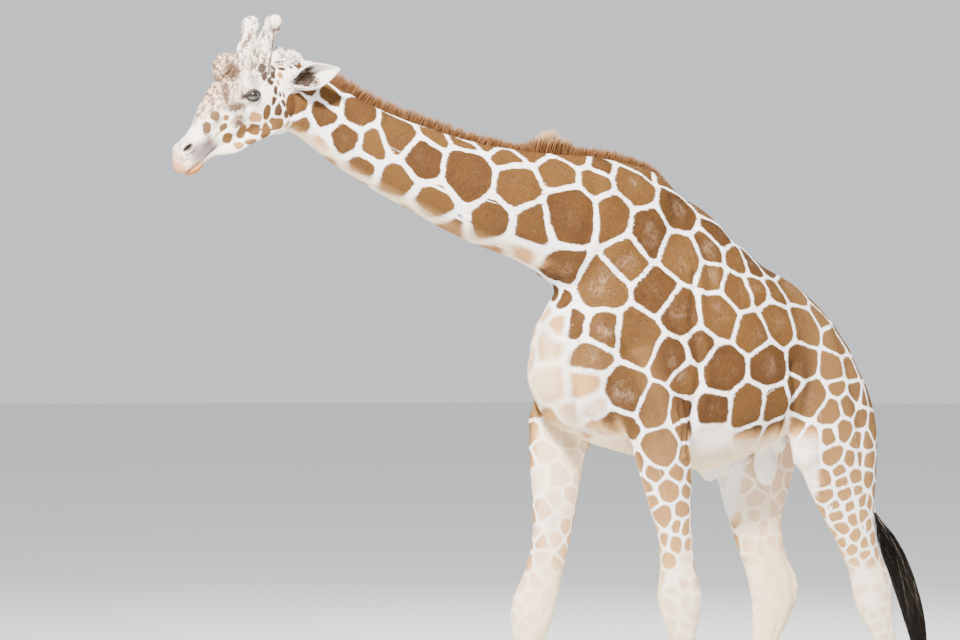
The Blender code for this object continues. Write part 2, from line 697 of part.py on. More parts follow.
def trunk_and_legs(body):
    trunk = between(body, "trunk", [backwards(NECK_CUTS[-1])])
    for kind in ("foreleg", "hindleg"):
        for side in (LEFT, RIGHT):
            space = as_object(leg_space(kind, side), "space")
            limb_nodes(body, kind, side, space)
            wider = swollen(space, NODE_GAP * 1.5)
            boolean(trunk, wider, "DIFFERENCE")
            discard(wider)
            discard(space)
    keep_largest(trunk)
    return finish(trunk, PATCH_BROWN, 0.8)


# --- nodes on the head ------------------------------------------------------------------------
MOUTH_FRONT, MOUTH_BACK = (0.672, -0.040), (0.430, -0.006)  # along the head and above its axis
JAW_END = (0.055, -0.060)
JAW_SPACE_HALF = Vector((0, 0.3, 0))


def head_and_jaw(skull):
    """The head above a plane along the mouth, and the lower jaw under it, back to below the ear."""
    for eye_side in (LEFT, RIGHT):
        socket = as_object(ball(eye_place(eye_side), [EYE_RADIUS + NODE_GAP] * 3), "socket")
        boolean(skull, socket, "DIFFERENCE")
        discard(socket)
    front, back = on_head(*MOUTH_FRONT), on_head(*MOUTH_BACK)
    mouth_down = (back - front).cross(Vector((0, 1, 0))).normalized()
    if mouth_down.z > 0:
        mouth_down = -mouth_down
    jaw_end = (on_head(*JAW_END), -HEAD_ALONG)
    jaw = between(skull, "lower_jaw", [(front, -mouth_down), jaw_end])
    helper = as_object(jaw_space(front, mouth_down), "jaw_space")
    head = boolean(copy_of(skull, "head"), helper, "DIFFERENCE")
    discard(helper)
    keep_largest(head)
    finish(keep_largest(jaw), CREAM, 0.7)
    return finish(head, COAT_WHITE, 0.7)


def jaw_space(front, mouth_down):
    """The wedge under the mouth and ahead of the jaw's end, which the head leaves to the jaw."""
    start = front - mouth_down * NODE_GAP
    level = (on_head(*MOUTH_BACK) - on_head(*MOUTH_FRONT)).normalized()
    lift = mouth_down * -NODE_GAP / 2
    end_plane = on_head(JAW_END[0] - NODE_GAP, JAW_END[1])
    reach = (end_plane - start).dot(HEAD_ALONG) / level.dot(HEAD_ALONG)
    back_high = start + level * reach + lift
    back_low = back_high + HEAD_UP * -0.4
    front_high = start - level * 0.2 + lift
    front_low = front_high + HEAD_UP * -0.4
    corners = []
    for place in (back_high, back_low, front_high, front_low):
        corners += [place - JAW_SPACE_HALF, place + JAW_SPACE_HALF]
    return block(corners)


def eye_place(side):
    along, above, out = EYE_PLACE
    return on_head(along, above, side * out)


def eyes():
    for side in (LEFT, RIGHT):
        eye = as_object(ball(eye_place(side), [EYE_RADIUS] * 3, fineness=2), f"eye_{SIDE_NAMES[side]}")
        finish(eye, EYE_BLACK, 0.1)


# along the head, above its axis, out from the middle, half width, half depth
OSSICONE_GROWTH = {LEFT: 0.91, RIGHT: 1.0}  # the left horn stands a little lower
OSSICONE = [
    (0.108, 0.140, 0.060, 0.054, 0.074),
    (0.078, 0.193, 0.066, 0.054, 0.062),
    (0.042, 0.234, 0.078, 0.044, 0.048),
    (0.008, 0.262, 0.090, 0.038, 0.040),
    (-0.030, 0.294, 0.103, 0.037, 0.039),
    (-0.052, 0.316, 0.110, 0.036, 0.038),
    (-0.064, 0.330, 0.114, 0.026, 0.027),
    (-0.068, 0.336, 0.115, 0.012, 0.012),
]


def ossicones(head):
    for side in (LEFT, RIGHT):
        rows = []
        for along, above, out, half, deep in OSSICONE:
            above = OSSICONE[0][1] + (above - OSSICONE[0][1]) * OSSICONE_GROWTH[side]
            rows.append((*on_head(along, above, side * out), half, deep, deep, 2.1, 2.1))
        horn = as_object(tube(rows, HEAD_ALONG, 0.03), f"ossicone_{SIDE_NAMES[side]}")
        thin_to(horn, HORN_TRIANGLES)
        finish(fitted_on(horn, head), COAT_WHITE, 0.85)


def thin_to(thing, triangles):
    shape = bmesh.new()
    shape.from_mesh(thing.data)
    bmesh.ops.triangulate(shape, faces=shape.faces)
    shape.to_mesh(thing.data)
    shape.free()
    thin = thing.modifiers.new("thin", "DECIMATE")
    thin.ratio = min(1.0, triangles / len(thing.data.polygons))
    return applied(thing)


EAR_LENGTH, EAR_WIDTH, EAR_THICKNESS = {LEFT: 0.212, RIGHT: 0.222}, 0.108, 0.008
EAR_ROWS, EAR_COLUMNS = 7, 6
EAR_LEAST_HALF = 0.003  # half the width left at its tip
# where each ear's tip points and which way its hollow faces
EAR_SETS = {
    LEFT: (Vector((0.164, -0.110, 0.059)), Vector((-0.60, -0.80, -0.05))),
    RIGHT: (Vector((0.193, 0.020, 0.120)), Vector((-0.20, 0.95, 0.10))),
}
EAR_ROOT = (0.016, 0.026, 0.084)


def ear(side):
    """A cupped leaf: a rolled stalk at the head that opens into a broad blade with a blunt point."""
    pointing, hollow = EAR_SETS[side]
    along = pointing.normalized()
    facing = (hollow - hollow.dot(along) * along).normalized()
    across = along.cross(facing)
    root = on_head(EAR_ROOT[0], EAR_ROOT[1], side * EAR_ROOT[2])
    shape = bmesh.new()
    grid = []
    for i in range(EAR_ROWS + 1):
        t = i / EAR_ROWS
        swell = 0.40 + 0.60 * math.sin(math.pi * min(t * 1.05, 1) ** 0.95)
        half = max(EAR_WIDTH / 2 * swell * (1 - t**5) ** 0.5, EAR_LEAST_HALF)
        curl = math.radians(150 - 95 * t)  # how far round its edge is rolled, from the stalk to the tip
        bend = half / math.sin(min(curl, math.pi / 2))
        row = []
        for j in range(EAR_COLUMNS + 1):
            angle = curl * (2 * j / EAR_COLUMNS - 1)
            place = root + along * EAR_LENGTH[side] * t
            sunk = math.cos(curl * 0.5) - math.cos(angle)
            place += across * bend * math.sin(angle) + facing * bend * sunk
            row.append(shape.verts.new(place))
        grid.append(row)
    for low, high in zip(grid, grid[1:]):
        for j in range(EAR_COLUMNS):
            shape.faces.new((low[j], low[j + 1], high[j + 1], high[j]))
    blade = as_object(shape, f"ear_{SIDE_NAMES[side]}")
    thick = blade.modifiers.new("thick", "SOLIDIFY")
    thick.thickness = EAR_THICKNESS
    thick.offset = 0
    return applied(blade)


def ears(head):
    for side in (LEFT, RIGHT):
        finish(fitted_on(ear(side), head), COAT_WHITE, 0.7)


# --- hooves, hair and tail --------------------------------------------------------------------
HOOF_NAMES = {"foreleg": "front", "hindleg": "hind"}
HOOF_LENGTH = {"foreleg": 0.245, "hindleg": 0.225}
HOOF_WIDTH = {"foreleg": 0.205, "hindleg": 0.185}
CLEFT = 0.010
HOOF_LEAN = 0.050  # how far the sole's middle lies ahead of the coronet's
HOOF_LEVELS, HOOF_POINTS = 2, 16
HOOF_TOE, HOOF_HEEL = (1.04, 2.2), (0.92, 2.6)  # share of the claw's half length, and fullness
HOOF_CLEFT_FULLNESS = 4.5  # the side along the cleft is nearly flat


def hooves():
    """Two claws to a foot, each wider and longer at the sole than at the coronet, with flat soles."""
    for kind, legs in (("foreleg", FORELEGS), ("hindleg", HINDLEGS)):
        for side, rows in legs.items():
            x, out, _, half, deep, _ = rows[-1]
            for place, step in (("inner", -side), ("outer", side)):
                claw = hoof(kind, x, side * out, step, half, deep)
                claw.name = f"hoof_{HOOF_NAMES[kind]}_{SIDE_NAMES[side]}_{place}"
                finish(claw, HOOF_BROWN, 0.5)


def hoof(kind, x, y, step, half, deep):
    length, width = HOOF_LENGTH[kind], HOOF_WIDTH[kind]
    top = HOOF_TOP - NODE_GAP
    shape = bmesh.new()
    loops = []
    for i in range(HOOF_LEVELS + 1):
        t = i / HOOF_LEVELS
        claw_half = (half + (width / 2 - half) * t) / 2 - CLEFT / 4
        claw_deep = deep + (length / 2 - deep) * t
        centre_x = x - HOOF_LEAN * t
        centre_y = y + step * (claw_half + CLEFT / 2)
        loop = []
        for k in range(HOOF_POINTS):
            angle = 2 * math.pi * k / HOOF_POINTS
            c, s = math.cos(angle), math.sin(angle)
            share, full = HOOF_TOE if s >= 0 else HOOF_HEEL
            side_full = full if c * step > 0 else HOOF_CLEFT_FULLNESS
            across = math.copysign(abs(c) ** (2 / side_full), c) * claw_half
            ahead = math.copysign(abs(s) ** (2 / full), s) * (claw_deep * share)
            loop.append(shape.verts.new((centre_x - ahead, centre_y + across, top - top * t)))
        loops.append(loop)
    for first, second in zip(loops, loops[1:]):
        for k in range(HOOF_POINTS):
            following = (k + 1) % HOOF_POINTS
            shape.faces.new((first[k], first[following], second[following], second[k]))
    shape.faces.new(loops[0])
    shape.faces.new(loops[-1])
    bmesh.ops.recalc_face_normals(shape, faces=shape.faces)
    return as_object(shape, "hoof")


def round_rows(rows):
    return [(x, y, z, half, deep, deep, 2.0, 2.0) for x, y, z, half, deep in rows]


def tail(trunk):
    dock = as_object(tube(round_rows(TAIL), UP + Vector((1, 0, 0)), 0.09), "tail")
    thin_to(dock, TAIL_TRIANGLES)
    cut_off(dock, Vector(TAIL[-1][:3]) + Vector((0.003, 0, -0.006)), Vector((0.32, 0, -0.95)))
    finish(fitted_on(dock, trunk), CREAM, 0.8)
    brush = as_object(tube(round_rows(TAIL_TUFT), UP + Vector((1, 0, 0)), 0.08), "tail_tuft")
    thin_to(brush, TAIL_TRIANGLES)
    finish(fitted_on(brush, dock), TUFT_BLACK, 0.6)


def mane(*supports):
    """An upright strip of stiff hair along the crest, from the poll to behind the withers."""
    shape = bmesh.new()
    rows = smooth_rows([(x, 0, z, height) for x, z, height in MANE], 0.11)
    loops = []
    for i, row in enumerate(rows):
        before, after = rows[max(i - 1, 0)], rows[min(i + 1, len(rows) - 1)]
        along = (Vector(after[:3]) - Vector(before[:3])).normalized()
        upward = (UP - UP.dot(along) * along).normalized()
        foot = Vector(row[:3])
        loop = []
        for across, rise in MANE_PROFILE:
            drop = MANE_ROOT_DEPTH if rise == 0.0 else 0.0
            place = foot + upward * (row[3] * rise - drop)
            loop.append(shape.verts.new(place + Vector((0, across * MANE_HALF_WIDTH, 0))))
        loops.append(loop)
    for first, second in zip(loops, loops[1:]):
        for k in range(len(MANE_PROFILE)):
            following = (k + 1) % len(MANE_PROFILE)
            shape.faces.new((first[k], first[following], second[following], second[k]))
    shape.faces.new(loops[0])
    shape.faces.new(loops[-1])
    bmesh.ops.recalc_face_normals(shape, faces=shape.faces)
    finish(fitted_on(as_object(shape, "mane"), *supports), MANE_RUSSET, 0.85)


def set_origin():
    """Moves everything so that the origin is under the middle of the whole, on the ground."""
    things = [o for o in bpy.context.scene.objects if o.type == "MESH"]
    corners = np.array([v.co[:] for o in things for v in o.data.vertices])
    low, high = corners.min(axis=0), corners.max(axis=0)
    move = Matrix.Translation((-(low[0] + high[0]) / 2, -(low[1] + high[1]) / 2, -low[2]))
    for thing in things:
        thing.data.transform(move)


def main():
    clear_scene()
    body = fused(body_forms(), "body", BODY_VOXEL, 8, BODY_TRIANGLES, broad=22)
    neck_nodes(body)
    trunk = trunk_and_legs(body)
    skull = fused(head_forms(), "skull", HEAD_VOXEL, 4, HEAD_TRIANGLES)
    cut_off(skull, HEAD_CUT[0] - HEAD_CUT[1].normalized() * NODE_GAP / 2, HEAD_CUT[1])
    keep_largest(skull)
    head = head_and_jaw(skull)
    discard(skull)
    eyes()
    ossicones(head)
    ears(head)
    hooves()
    tail(trunk)
    mane(body, head)
    discard(body)
    set_origin()


main()
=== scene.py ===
"""Dresses the life-size reticulated giraffe.

One skin stands for the parts of flesh, and a coat of short tufts lies over it with the same markings.
Mane, tail brush, ears, horns, eyes, lids, lashes and hooves are pieces of their own.

The forms are laid out in a layout frame: the animal faces -X, its left side is at -Y, the ground is
at Z = 0 and X = 0 is at its withers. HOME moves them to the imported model's frame. Metres throughout.
"""

import math

import bmesh
import bpy
import numpy as np
from mathutils import Matrix, Vector, noise
from mathutils.bvhtree import BVHTree


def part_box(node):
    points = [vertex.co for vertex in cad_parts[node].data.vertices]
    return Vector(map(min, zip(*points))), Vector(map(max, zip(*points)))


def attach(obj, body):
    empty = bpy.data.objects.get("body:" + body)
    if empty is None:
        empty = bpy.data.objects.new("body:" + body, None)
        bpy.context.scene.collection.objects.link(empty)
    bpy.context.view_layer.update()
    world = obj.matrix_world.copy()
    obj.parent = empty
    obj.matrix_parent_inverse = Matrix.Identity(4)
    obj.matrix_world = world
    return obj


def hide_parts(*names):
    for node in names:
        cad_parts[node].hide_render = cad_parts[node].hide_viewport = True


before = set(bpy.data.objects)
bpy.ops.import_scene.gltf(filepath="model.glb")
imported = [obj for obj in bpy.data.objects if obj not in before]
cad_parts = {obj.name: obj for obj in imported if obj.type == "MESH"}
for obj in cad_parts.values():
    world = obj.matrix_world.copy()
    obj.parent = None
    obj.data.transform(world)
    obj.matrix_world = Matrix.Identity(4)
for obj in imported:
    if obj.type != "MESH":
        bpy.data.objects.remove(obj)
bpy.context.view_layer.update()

# --- driving dimensions -----------------------------------------------------------------------
HEAD_PITCH = math.radians(34.6)  # the nose line below the horizontal
HEAD_ORIGIN = Vector((-1.927, 0.0, 3.306))  # between the ears
EYE_RADIUS = 0.026
EYE_PLACE = (0.212, 0.086, 0.097)  # along the head, above its axis, and out from the middle
HOOF_TOP = 0.125  # height of the coronet
KNEE_HEIGHT = 1.02
SKIN_VOXEL = 0.0126
SKIN_TRIANGLES = 76_000  # before its finer seams along the markings
RING_POINTS = 40

LEFT, RIGHT = -1, 1
SIDES = {LEFT: "left", RIGHT: "right"}
UP = Vector((0, 0, 1))
UP_AND_BACK = Vector((1, 0, 1))
ACROSS = Vector((0, 1, 0))
FORWARD = Vector((-1, 0, 0))
HEAD_ALONG = Vector((-math.cos(HEAD_PITCH), 0, -math.sin(HEAD_PITCH)))
HEAD_UP = Vector((-math.sin(HEAD_PITCH), 0, math.cos(HEAD_PITCH)))


# --- rows of the main forms -------------------------------------------------------------------
# x, height of the widest level, half width, height of the back, height of the belly,
# fullness above, fullness below (2 is an ellipse, less is a ridge, more is a box)
TRUNK = [
    (-0.655, 2.15, 0.03, 2.19, 2.11, 2.0, 2.0), (-0.645, 2.14, 0.1, 2.3, 2.0, 2.0, 2.0),
    (-0.59, 2.13, 0.17, 2.44, 1.88, 2.0, 2.0), (-0.46, 2.11, 0.225, 2.66, 1.775, 1.9, 2.0),
    (-0.3, 2.1, 0.255, 2.86, 1.705, 1.8, 2.0), (-0.1, 2.1, 0.28, 2.975, 1.65, 1.7, 2.1),
    (0.1, 2.1, 0.305, 2.88, 1.605, 1.7, 2.2), (0.3, 2.08, 0.325, 2.725, 1.59, 1.8, 2.2),
    (0.5, 2.07, 0.315, 2.615, 1.655, 1.9, 2.1), (0.68, 2.08, 0.28, 2.53, 1.75, 2.0, 2.0),
    (0.84, 2.09, 0.235, 2.44, 1.85, 2.0, 2.0), (0.95, 2.1, 0.185, 2.345, 1.93, 2.0, 2.0),
    (1.03, 2.11, 0.105, 2.24, 1.99, 2.0, 2.0), (1.055, 2.115, 0.03, 2.16, 2.06, 2.0, 2.0),
]
# x, z of the middle, half width, half depth, fullness
NECK = [
    (-1.975, 3.285, 0.07, 0.105, 2.0), (-1.9, 3.262, 0.09, 0.138, 2.0),
    (-1.817, 3.22, 0.094, 0.144, 2.0), (-1.615, 3.109, 0.102, 0.162, 2.0),
    (-1.253, 2.961, 0.118, 0.196, 2.0), (-0.962, 2.868, 0.138, 0.231, 1.95),
    (-0.672, 2.808, 0.165, 0.268, 1.9), (-0.43, 2.74, 0.195, 0.335, 1.85),
    (-0.18, 2.62, 0.205, 0.4, 1.8), (-0.02, 2.5, 0.165, 0.33, 1.8),
]
# along the head from between the ears, height of the widest level, half width, roof, floor,
# fullness above, fullness below
HEAD = [
    (-0.09, 0.04, 0.02, 0.06, 0.01, 2.0, 2.0), (-0.075, 0.045, 0.06, 0.11, -0.045, 2.0, 2.0),
    (-0.03, 0.05, 0.084, 0.143, -0.09, 2.1, 2.0), (0.03, 0.06, 0.094, 0.165, -0.112, 2.2, 1.9),
    (0.1, 0.07, 0.1, 0.182, -0.118, 2.2, 1.8), (0.16, 0.085, 0.112, 0.196, -0.117, 2.2, 1.7),
    (0.21, 0.09, 0.117, 0.2, -0.116, 2.2, 1.7), (0.27, 0.085, 0.105, 0.2, -0.11, 2.1, 1.7),
    (0.33, 0.068, 0.086, 0.186, -0.1, 2.0, 1.8), (0.39, 0.05, 0.072, 0.16, -0.087, 2.0, 1.9),
    (0.45, 0.036, 0.062, 0.128, -0.062, 2.1, 2.1), (0.5, 0.03, 0.058, 0.103, -0.046, 2.2, 2.2),
    (0.55, 0.025, 0.058, 0.09, -0.05, 2.3, 2.2), (0.585, 0.014, 0.055, 0.073, -0.052, 2.3, 2.2),
    (0.613, -0.001, 0.047, 0.047, -0.054, 2.2, 2.2), (0.635, -0.013, 0.032, 0.018, -0.048, 2.0, 2.0),
    (0.647, -0.022, 0.014, -0.006, -0.038, 2.0, 2.0),
]
# Forms on the head: along it, above its axis and out from the middle, with radii along, sideways and up
MIDDLE_BUMPS = [
    ((0.204, 0.205), (0.072, 0.06, 0.088)),  # the horn on the forehead
    ((0.275, 0.16), (0.08, 0.048, 0.05)), ((0.598, -0.012), (0.034, 0.042, 0.036)),
    ((0.575, -0.042), (0.05, 0.034, 0.02)),  # chin
    ((0.112, -0.096), (0.078, 0.062, 0.05)),  # throat
]
SIDE_BUMPS = [
    ((0.19, 0.122, 0.086), (0.066, 0.036, 0.034)),  # brow
    ((0.215, 0.048, 0.09), (0.066, 0.028, 0.026)),  # under the eye
    ((0.11, -0.02, 0.06), (0.09, 0.034, 0.07)),  # cheek
    ((0.33, 0.02, 0.056), (0.09, 0.022, 0.04)),
    ((0.568, 0.05, 0.036), (0.036, 0.024, 0.032)),  # beside the nostril
    ((0.06, 0.16, 0.052), (0.08, 0.052, 0.052)),  # under the horn
]
# along the head, above its axis, out, half width, half depth
JAW_BONE = [
    (0.11, -0.07, 0.058, 0.022, 0.034), (0.184, -0.081, 0.055, 0.024, 0.034),
    (0.244, -0.072, 0.051, 0.021, 0.03), (0.318, -0.064, 0.045, 0.019, 0.029),
    (0.384, -0.058, 0.041, 0.017, 0.029), (0.442, -0.036, 0.038, 0.016, 0.023),
    (0.5, -0.012, 0.034, 0.013, 0.016),
]
# A leg's rows: x, distance from the middle, z, half width, half depth, fullness
FORELEGS = {
    LEFT: [
        (-0.25, 0.195, 2.16, 0.09, 0.2, 2.0), (-0.2, 0.21, 1.98, 0.092, 0.195, 2.0),
        (-0.14, 0.21, 1.8, 0.09, 0.168, 2.0), (-0.103, 0.205, 1.62, 0.083, 0.143, 2.0),
        (-0.073, 0.2, 1.45, 0.076, 0.111, 2.0), (-0.042, 0.195, 1.3, 0.067, 0.087, 2.1),
        (-0.028, 0.19, 1.16, 0.067, 0.085, 2.2), (-0.016, 0.186, 1.06, 0.079, 0.096, 2.4),
        (-0.006, 0.182, 0.985, 0.084, 0.098, 2.5), (0.002, 0.18, 0.9, 0.073, 0.082, 2.4),
        (0.018, 0.178, 0.81, 0.052, 0.057, 2.2), (0.043, 0.175, 0.6, 0.046, 0.051, 2.1),
        (0.067, 0.172, 0.38, 0.049, 0.053, 2.1), (0.08, 0.171, 0.275, 0.065, 0.076, 2.2),
        (0.062, 0.17, 0.205, 0.06, 0.062, 2.2), (0.036, 0.17, 0.13, 0.07, 0.074, 2.2),
        (0.026, 0.17, 0.1, 0.07, 0.074, 2.2),
    ],
    RIGHT: [
        (-0.34, 0.195, 2.16, 0.09, 0.19, 2.0), (-0.375, 0.21, 1.98, 0.092, 0.185, 2.0),
        (-0.42, 0.21, 1.8, 0.09, 0.165, 2.0), (-0.443, 0.205, 1.62, 0.083, 0.142, 2.0),
        (-0.453, 0.2, 1.5, 0.078, 0.124, 2.0), (-0.467, 0.197, 1.35, 0.071, 0.106, 2.0),
        (-0.497, 0.192, 1.2, 0.068, 0.092, 2.1), (-0.532, 0.19, 1.09, 0.071, 0.092, 2.2),
        (-0.568, 0.187, 1.0, 0.079, 0.096, 2.4), (-0.592, 0.185, 0.925, 0.084, 0.098, 2.5),
        (-0.604, 0.183, 0.845, 0.071, 0.081, 2.4), (-0.616, 0.182, 0.77, 0.053, 0.058, 2.2),
        (-0.65, 0.18, 0.58, 0.046, 0.051, 2.1), (-0.69, 0.178, 0.38, 0.049, 0.053, 2.1),
        (-0.712, 0.177, 0.275, 0.065, 0.077, 2.2), (-0.748, 0.176, 0.2, 0.06, 0.062, 2.2),
        (-0.782, 0.175, 0.13, 0.07, 0.074, 2.2), (-0.794, 0.175, 0.1, 0.07, 0.074, 2.2),
    ],
}
HINDLEGS = {
    LEFT: [
        (0.7, 0.12, 2.29, 0.07, 0.13, 2.0), (0.745, 0.15, 2.18, 0.105, 0.19, 2.0),
        (0.8, 0.172, 2.04, 0.118, 0.212, 2.0), (0.864, 0.188, 1.88, 0.118, 0.238, 2.0),
        (0.89, 0.197, 1.72, 0.108, 0.245, 2.0), (0.922, 0.2, 1.57, 0.096, 0.212, 2.0),
        (0.955, 0.198, 1.44, 0.086, 0.172, 2.0), (0.99, 0.193, 1.33, 0.077, 0.13, 2.0),
        (1.035, 0.188, 1.21, 0.068, 0.103, 2.0), (1.08, 0.183, 1.1, 0.063, 0.09, 2.1),
        (1.112, 0.18, 1.01, 0.068, 0.096, 2.3), (1.143, 0.178, 0.91, 0.067, 0.09, 2.3),
        (1.185, 0.175, 0.8, 0.056, 0.066, 2.2), (1.213, 0.173, 0.725, 0.05, 0.054, 2.1),
        (1.28, 0.17, 0.5, 0.046, 0.049, 2.1), (1.334, 0.168, 0.36, 0.049, 0.052, 2.1),
        (1.36, 0.167, 0.275, 0.063, 0.074, 2.2), (1.346, 0.166, 0.2, 0.058, 0.06, 2.2),
        (1.322, 0.165, 0.13, 0.068, 0.071, 2.2), (1.313, 0.165, 0.1, 0.068, 0.071, 2.2),
    ],
    RIGHT: [
        (0.69, 0.12, 2.29, 0.07, 0.13, 2.0), (0.7, 0.15, 2.18, 0.105, 0.19, 2.0),
        (0.715, 0.172, 2.04, 0.118, 0.22, 2.0), (0.712, 0.188, 1.88, 0.118, 0.24, 2.0),
        (0.708, 0.197, 1.72, 0.108, 0.242, 2.0), (0.7, 0.2, 1.56, 0.097, 0.23, 2.0),
        (0.697, 0.198, 1.43, 0.088, 0.188, 2.0), (0.708, 0.195, 1.3, 0.079, 0.148, 2.0),
        (0.727, 0.19, 1.2, 0.073, 0.13, 2.0), (0.752, 0.185, 1.1, 0.067, 0.115, 2.1),
        (0.78, 0.182, 1.0, 0.069, 0.116, 2.3), (0.79, 0.18, 0.93, 0.069, 0.112, 2.3),
        (0.77, 0.178, 0.83, 0.063, 0.094, 2.2), (0.742, 0.176, 0.73, 0.054, 0.07, 2.1),
        (0.715, 0.174, 0.59, 0.047, 0.051, 2.1), (0.69, 0.172, 0.37, 0.049, 0.052, 2.1),
        (0.678, 0.171, 0.275, 0.063, 0.074, 2.2), (0.65, 0.17, 0.2, 0.058, 0.06, 2.2),
        (0.622, 0.17, 0.13, 0.068, 0.071, 2.2), (0.612, 0.17, 0.1, 0.068, 0.071, 2.2),
    ],
}
# Broad muscles and bones under the skin: x, distance from the middle, z, radii, tilt back in degrees
MUSCLES = {
    LEFT: [
        (-0.215, 0.122, 2.56, 0.17, 0.088, 0.4, 20), (-0.425, 0.15, 2.16, 0.13, 0.112, 0.215, 8),
        (-0.135, 0.18, 2.15, 0.165, 0.112, 0.33, 8), (-0.01, 0.205, 1.8, 0.058, 0.066, 0.12, -8),
    ],
    RIGHT: [
        (-0.245, 0.122, 2.56, 0.17, 0.088, 0.4, 22), (-0.47, 0.15, 2.15, 0.128, 0.112, 0.215, 4),
        (-0.215, 0.18, 2.14, 0.165, 0.112, 0.33, 22), (-0.31, 0.205, 1.76, 0.058, 0.066, 0.11, 10),
    ],
}
QUARTERS = {
    LEFT: [
        (0.4, 0.15, 2.39, 0.15, 0.085, 0.095, 25), (0.7, 0.095, 2.31, 0.2, 0.1, 0.105, 28),
        (0.93, 0.135, 2.04, 0.125, 0.09, 0.2, -12), (0.72, 0.205, 1.68, 0.09, 0.078, 0.15, -25),
    ],
    RIGHT: [
        (0.4, 0.15, 2.39, 0.15, 0.085, 0.095, 25), (0.7, 0.095, 2.31, 0.2, 0.1, 0.105, 28),
        (0.905, 0.135, 2.06, 0.125, 0.09, 0.2, -12), (0.53, 0.205, 1.64, 0.08, 0.078, 0.15, 0),
    ],
}
HEEL_CORDS = {
    LEFT: [
        (1.07, 0.188, 1.3, 0.022, 0.03, 2.0), (1.145, 0.184, 1.14, 0.024, 0.03, 2.0),
        (1.196, 0.181, 1.025, 0.033, 0.037, 2.2), (1.212, 0.179, 0.93, 0.03, 0.034, 2.0),
        (1.22, 0.176, 0.8, 0.024, 0.026, 2.0),
    ],
    RIGHT: [
        (0.8, 0.19, 1.27, 0.022, 0.032, 2.0), (0.862, 0.186, 1.11, 0.024, 0.03, 2.0),
        (0.907, 0.183, 0.985, 0.033, 0.038, 2.2), (0.88, 0.18, 0.88, 0.03, 0.036, 2.0),
        (0.82, 0.177, 0.77, 0.024, 0.03, 2.0),
    ],
}
# x, y, z, half width, half depth
TAIL = [
    (0.905, 0.0, 2.285, 0.05, 0.06), (0.99, 0.006, 2.225, 0.042, 0.05),
    (1.07, 0.02, 2.08, 0.032, 0.036), (1.145, 0.036, 1.9, 0.025, 0.027),
    (1.203, 0.046, 1.71, 0.02, 0.021), (1.262, 0.05, 1.52, 0.018, 0.018),
    (1.325, 0.05, 1.335, 0.017, 0.017),
]
TAIL_TUFT = [
    (1.322, 0.05, 1.345, 0.012, 0.014), (1.352, 0.05, 1.29, 0.026, 0.036),
    (1.405, 0.05, 1.195, 0.038, 0.058), (1.47, 0.05, 1.07, 0.044, 0.068),
    (1.535, 0.05, 0.92, 0.044, 0.068), (1.59, 0.05, 0.76, 0.04, 0.058), (1.62, 0.05, 0.62, 0.03, 0.04),
    (1.635, 0.05, 0.52, 0.014, 0.016),
]
# x, z of the ridge under the hair, height of the hair over it
MANE = [
    (-1.88, 3.385, 0.02), (-1.83, 3.368, 0.05), (-1.7, 3.318, 0.06), (-1.5, 3.232, 0.056),
    (-1.32, 3.17, 0.056), (-1.14, 3.128, 0.05), (-0.96, 3.088, 0.044), (-0.76, 3.068, 0.04),
    (-0.7, 3.066, 0.06), (-0.66, 3.064, 0.098), (-0.56, 3.06, 0.086), (-0.48, 3.058, 0.05),
    (-0.3, 3.056, 0.046), (-0.16, 3.032, 0.04), (-0.05, 2.985, 0.03), (0.04, 2.915, 0.012),
]
MANE_HALF_WIDTH = 0.022


# --- places -----------------------------------------------------------------------------------
def on_head(along, above, out=0.0):
    """A point given by its place along the head, above the head's axis and out from the middle."""
    return HEAD_ORIGIN + HEAD_ALONG * along + HEAD_UP * above + ACROSS * out


def eye_place(side):
    along, above, out = EYE_PLACE
    return on_head(along, above, side * out)


EYE_LOW, EYE_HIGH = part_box("eye_left")
HOME = (EYE_LOW + EYE_HIGH) / 2 - eye_place(LEFT)


def ramp(value, low, high):
    """0 below low, 1 above high and smooth between; high may be the smaller one."""
    share = np.clip((value - low) / (high - low), 0, 1)
    return share * share * (3 - 2 * share)


def between(value, start, full, fading, end):
    """0 outside start and end, and 1 from full to fading."""
    return ramp(value, start, full) * (1 - ramp(value, fading, end))


def lengths(vectors):
    return np.linalg.norm(vectors, axis=1)


def unit(vectors):
    return vectors / np.maximum(np.linalg.norm(vectors, axis=-1, keepdims=True), 1e-9)


def rough(points, size):
    """Smooth noise of about -1 to 1 at each point, with lumps of this size."""
    return np.array([noise.noise(Vector(p)) for p in np.asarray(points) / size])


def rough_ways(points, size, shifts):
    """Smooth noise in each of the three ways at each point."""
    return np.stack([rough(points + shift, size) for shift in shifts], axis=1)


# --- shaping tools ----------------------------------------------------------------------------
def smooth_rows(rows, spacing):
    """More rows along the same curve, by cubic pieces through the given ones."""
    rows = np.array(rows, float)
    steps = lengths(np.diff(rows[:, :3], axis=0))
    where = np.concatenate([[0.0], np.cumsum(steps)])
    slopes = np.gradient(rows, where, axis=0)
    made = []
    for i, step in enumerate(steps):
        count = max(1, math.ceil(step / spacing))
        for t in np.arange(count) / count:
            start, end = 2 * t**3 - 3 * t**2 + 1, 3 * t**2 - 2 * t**3
            leave, arrive = t**3 - 2 * t**2 + t, t**3 - t**2
            curve = start * rows[i] + end * rows[i + 1]
            made.append(curve + step * (leave * slopes[i] + arrive * slopes[i + 1]))
    return np.array([*made, rows[-1]])


def round_the_clock(count):
    """Cosine and sine of so many even turns."""
    return [(math.cos(math.tau * k / count), math.sin(math.tau * k / count)) for k in range(count)]


def fuller(part, full):
    """A cosine or sine made fuller: 2 leaves a circle round and more makes it a box."""
    return math.copysign(abs(part) ** (2 / full), part)


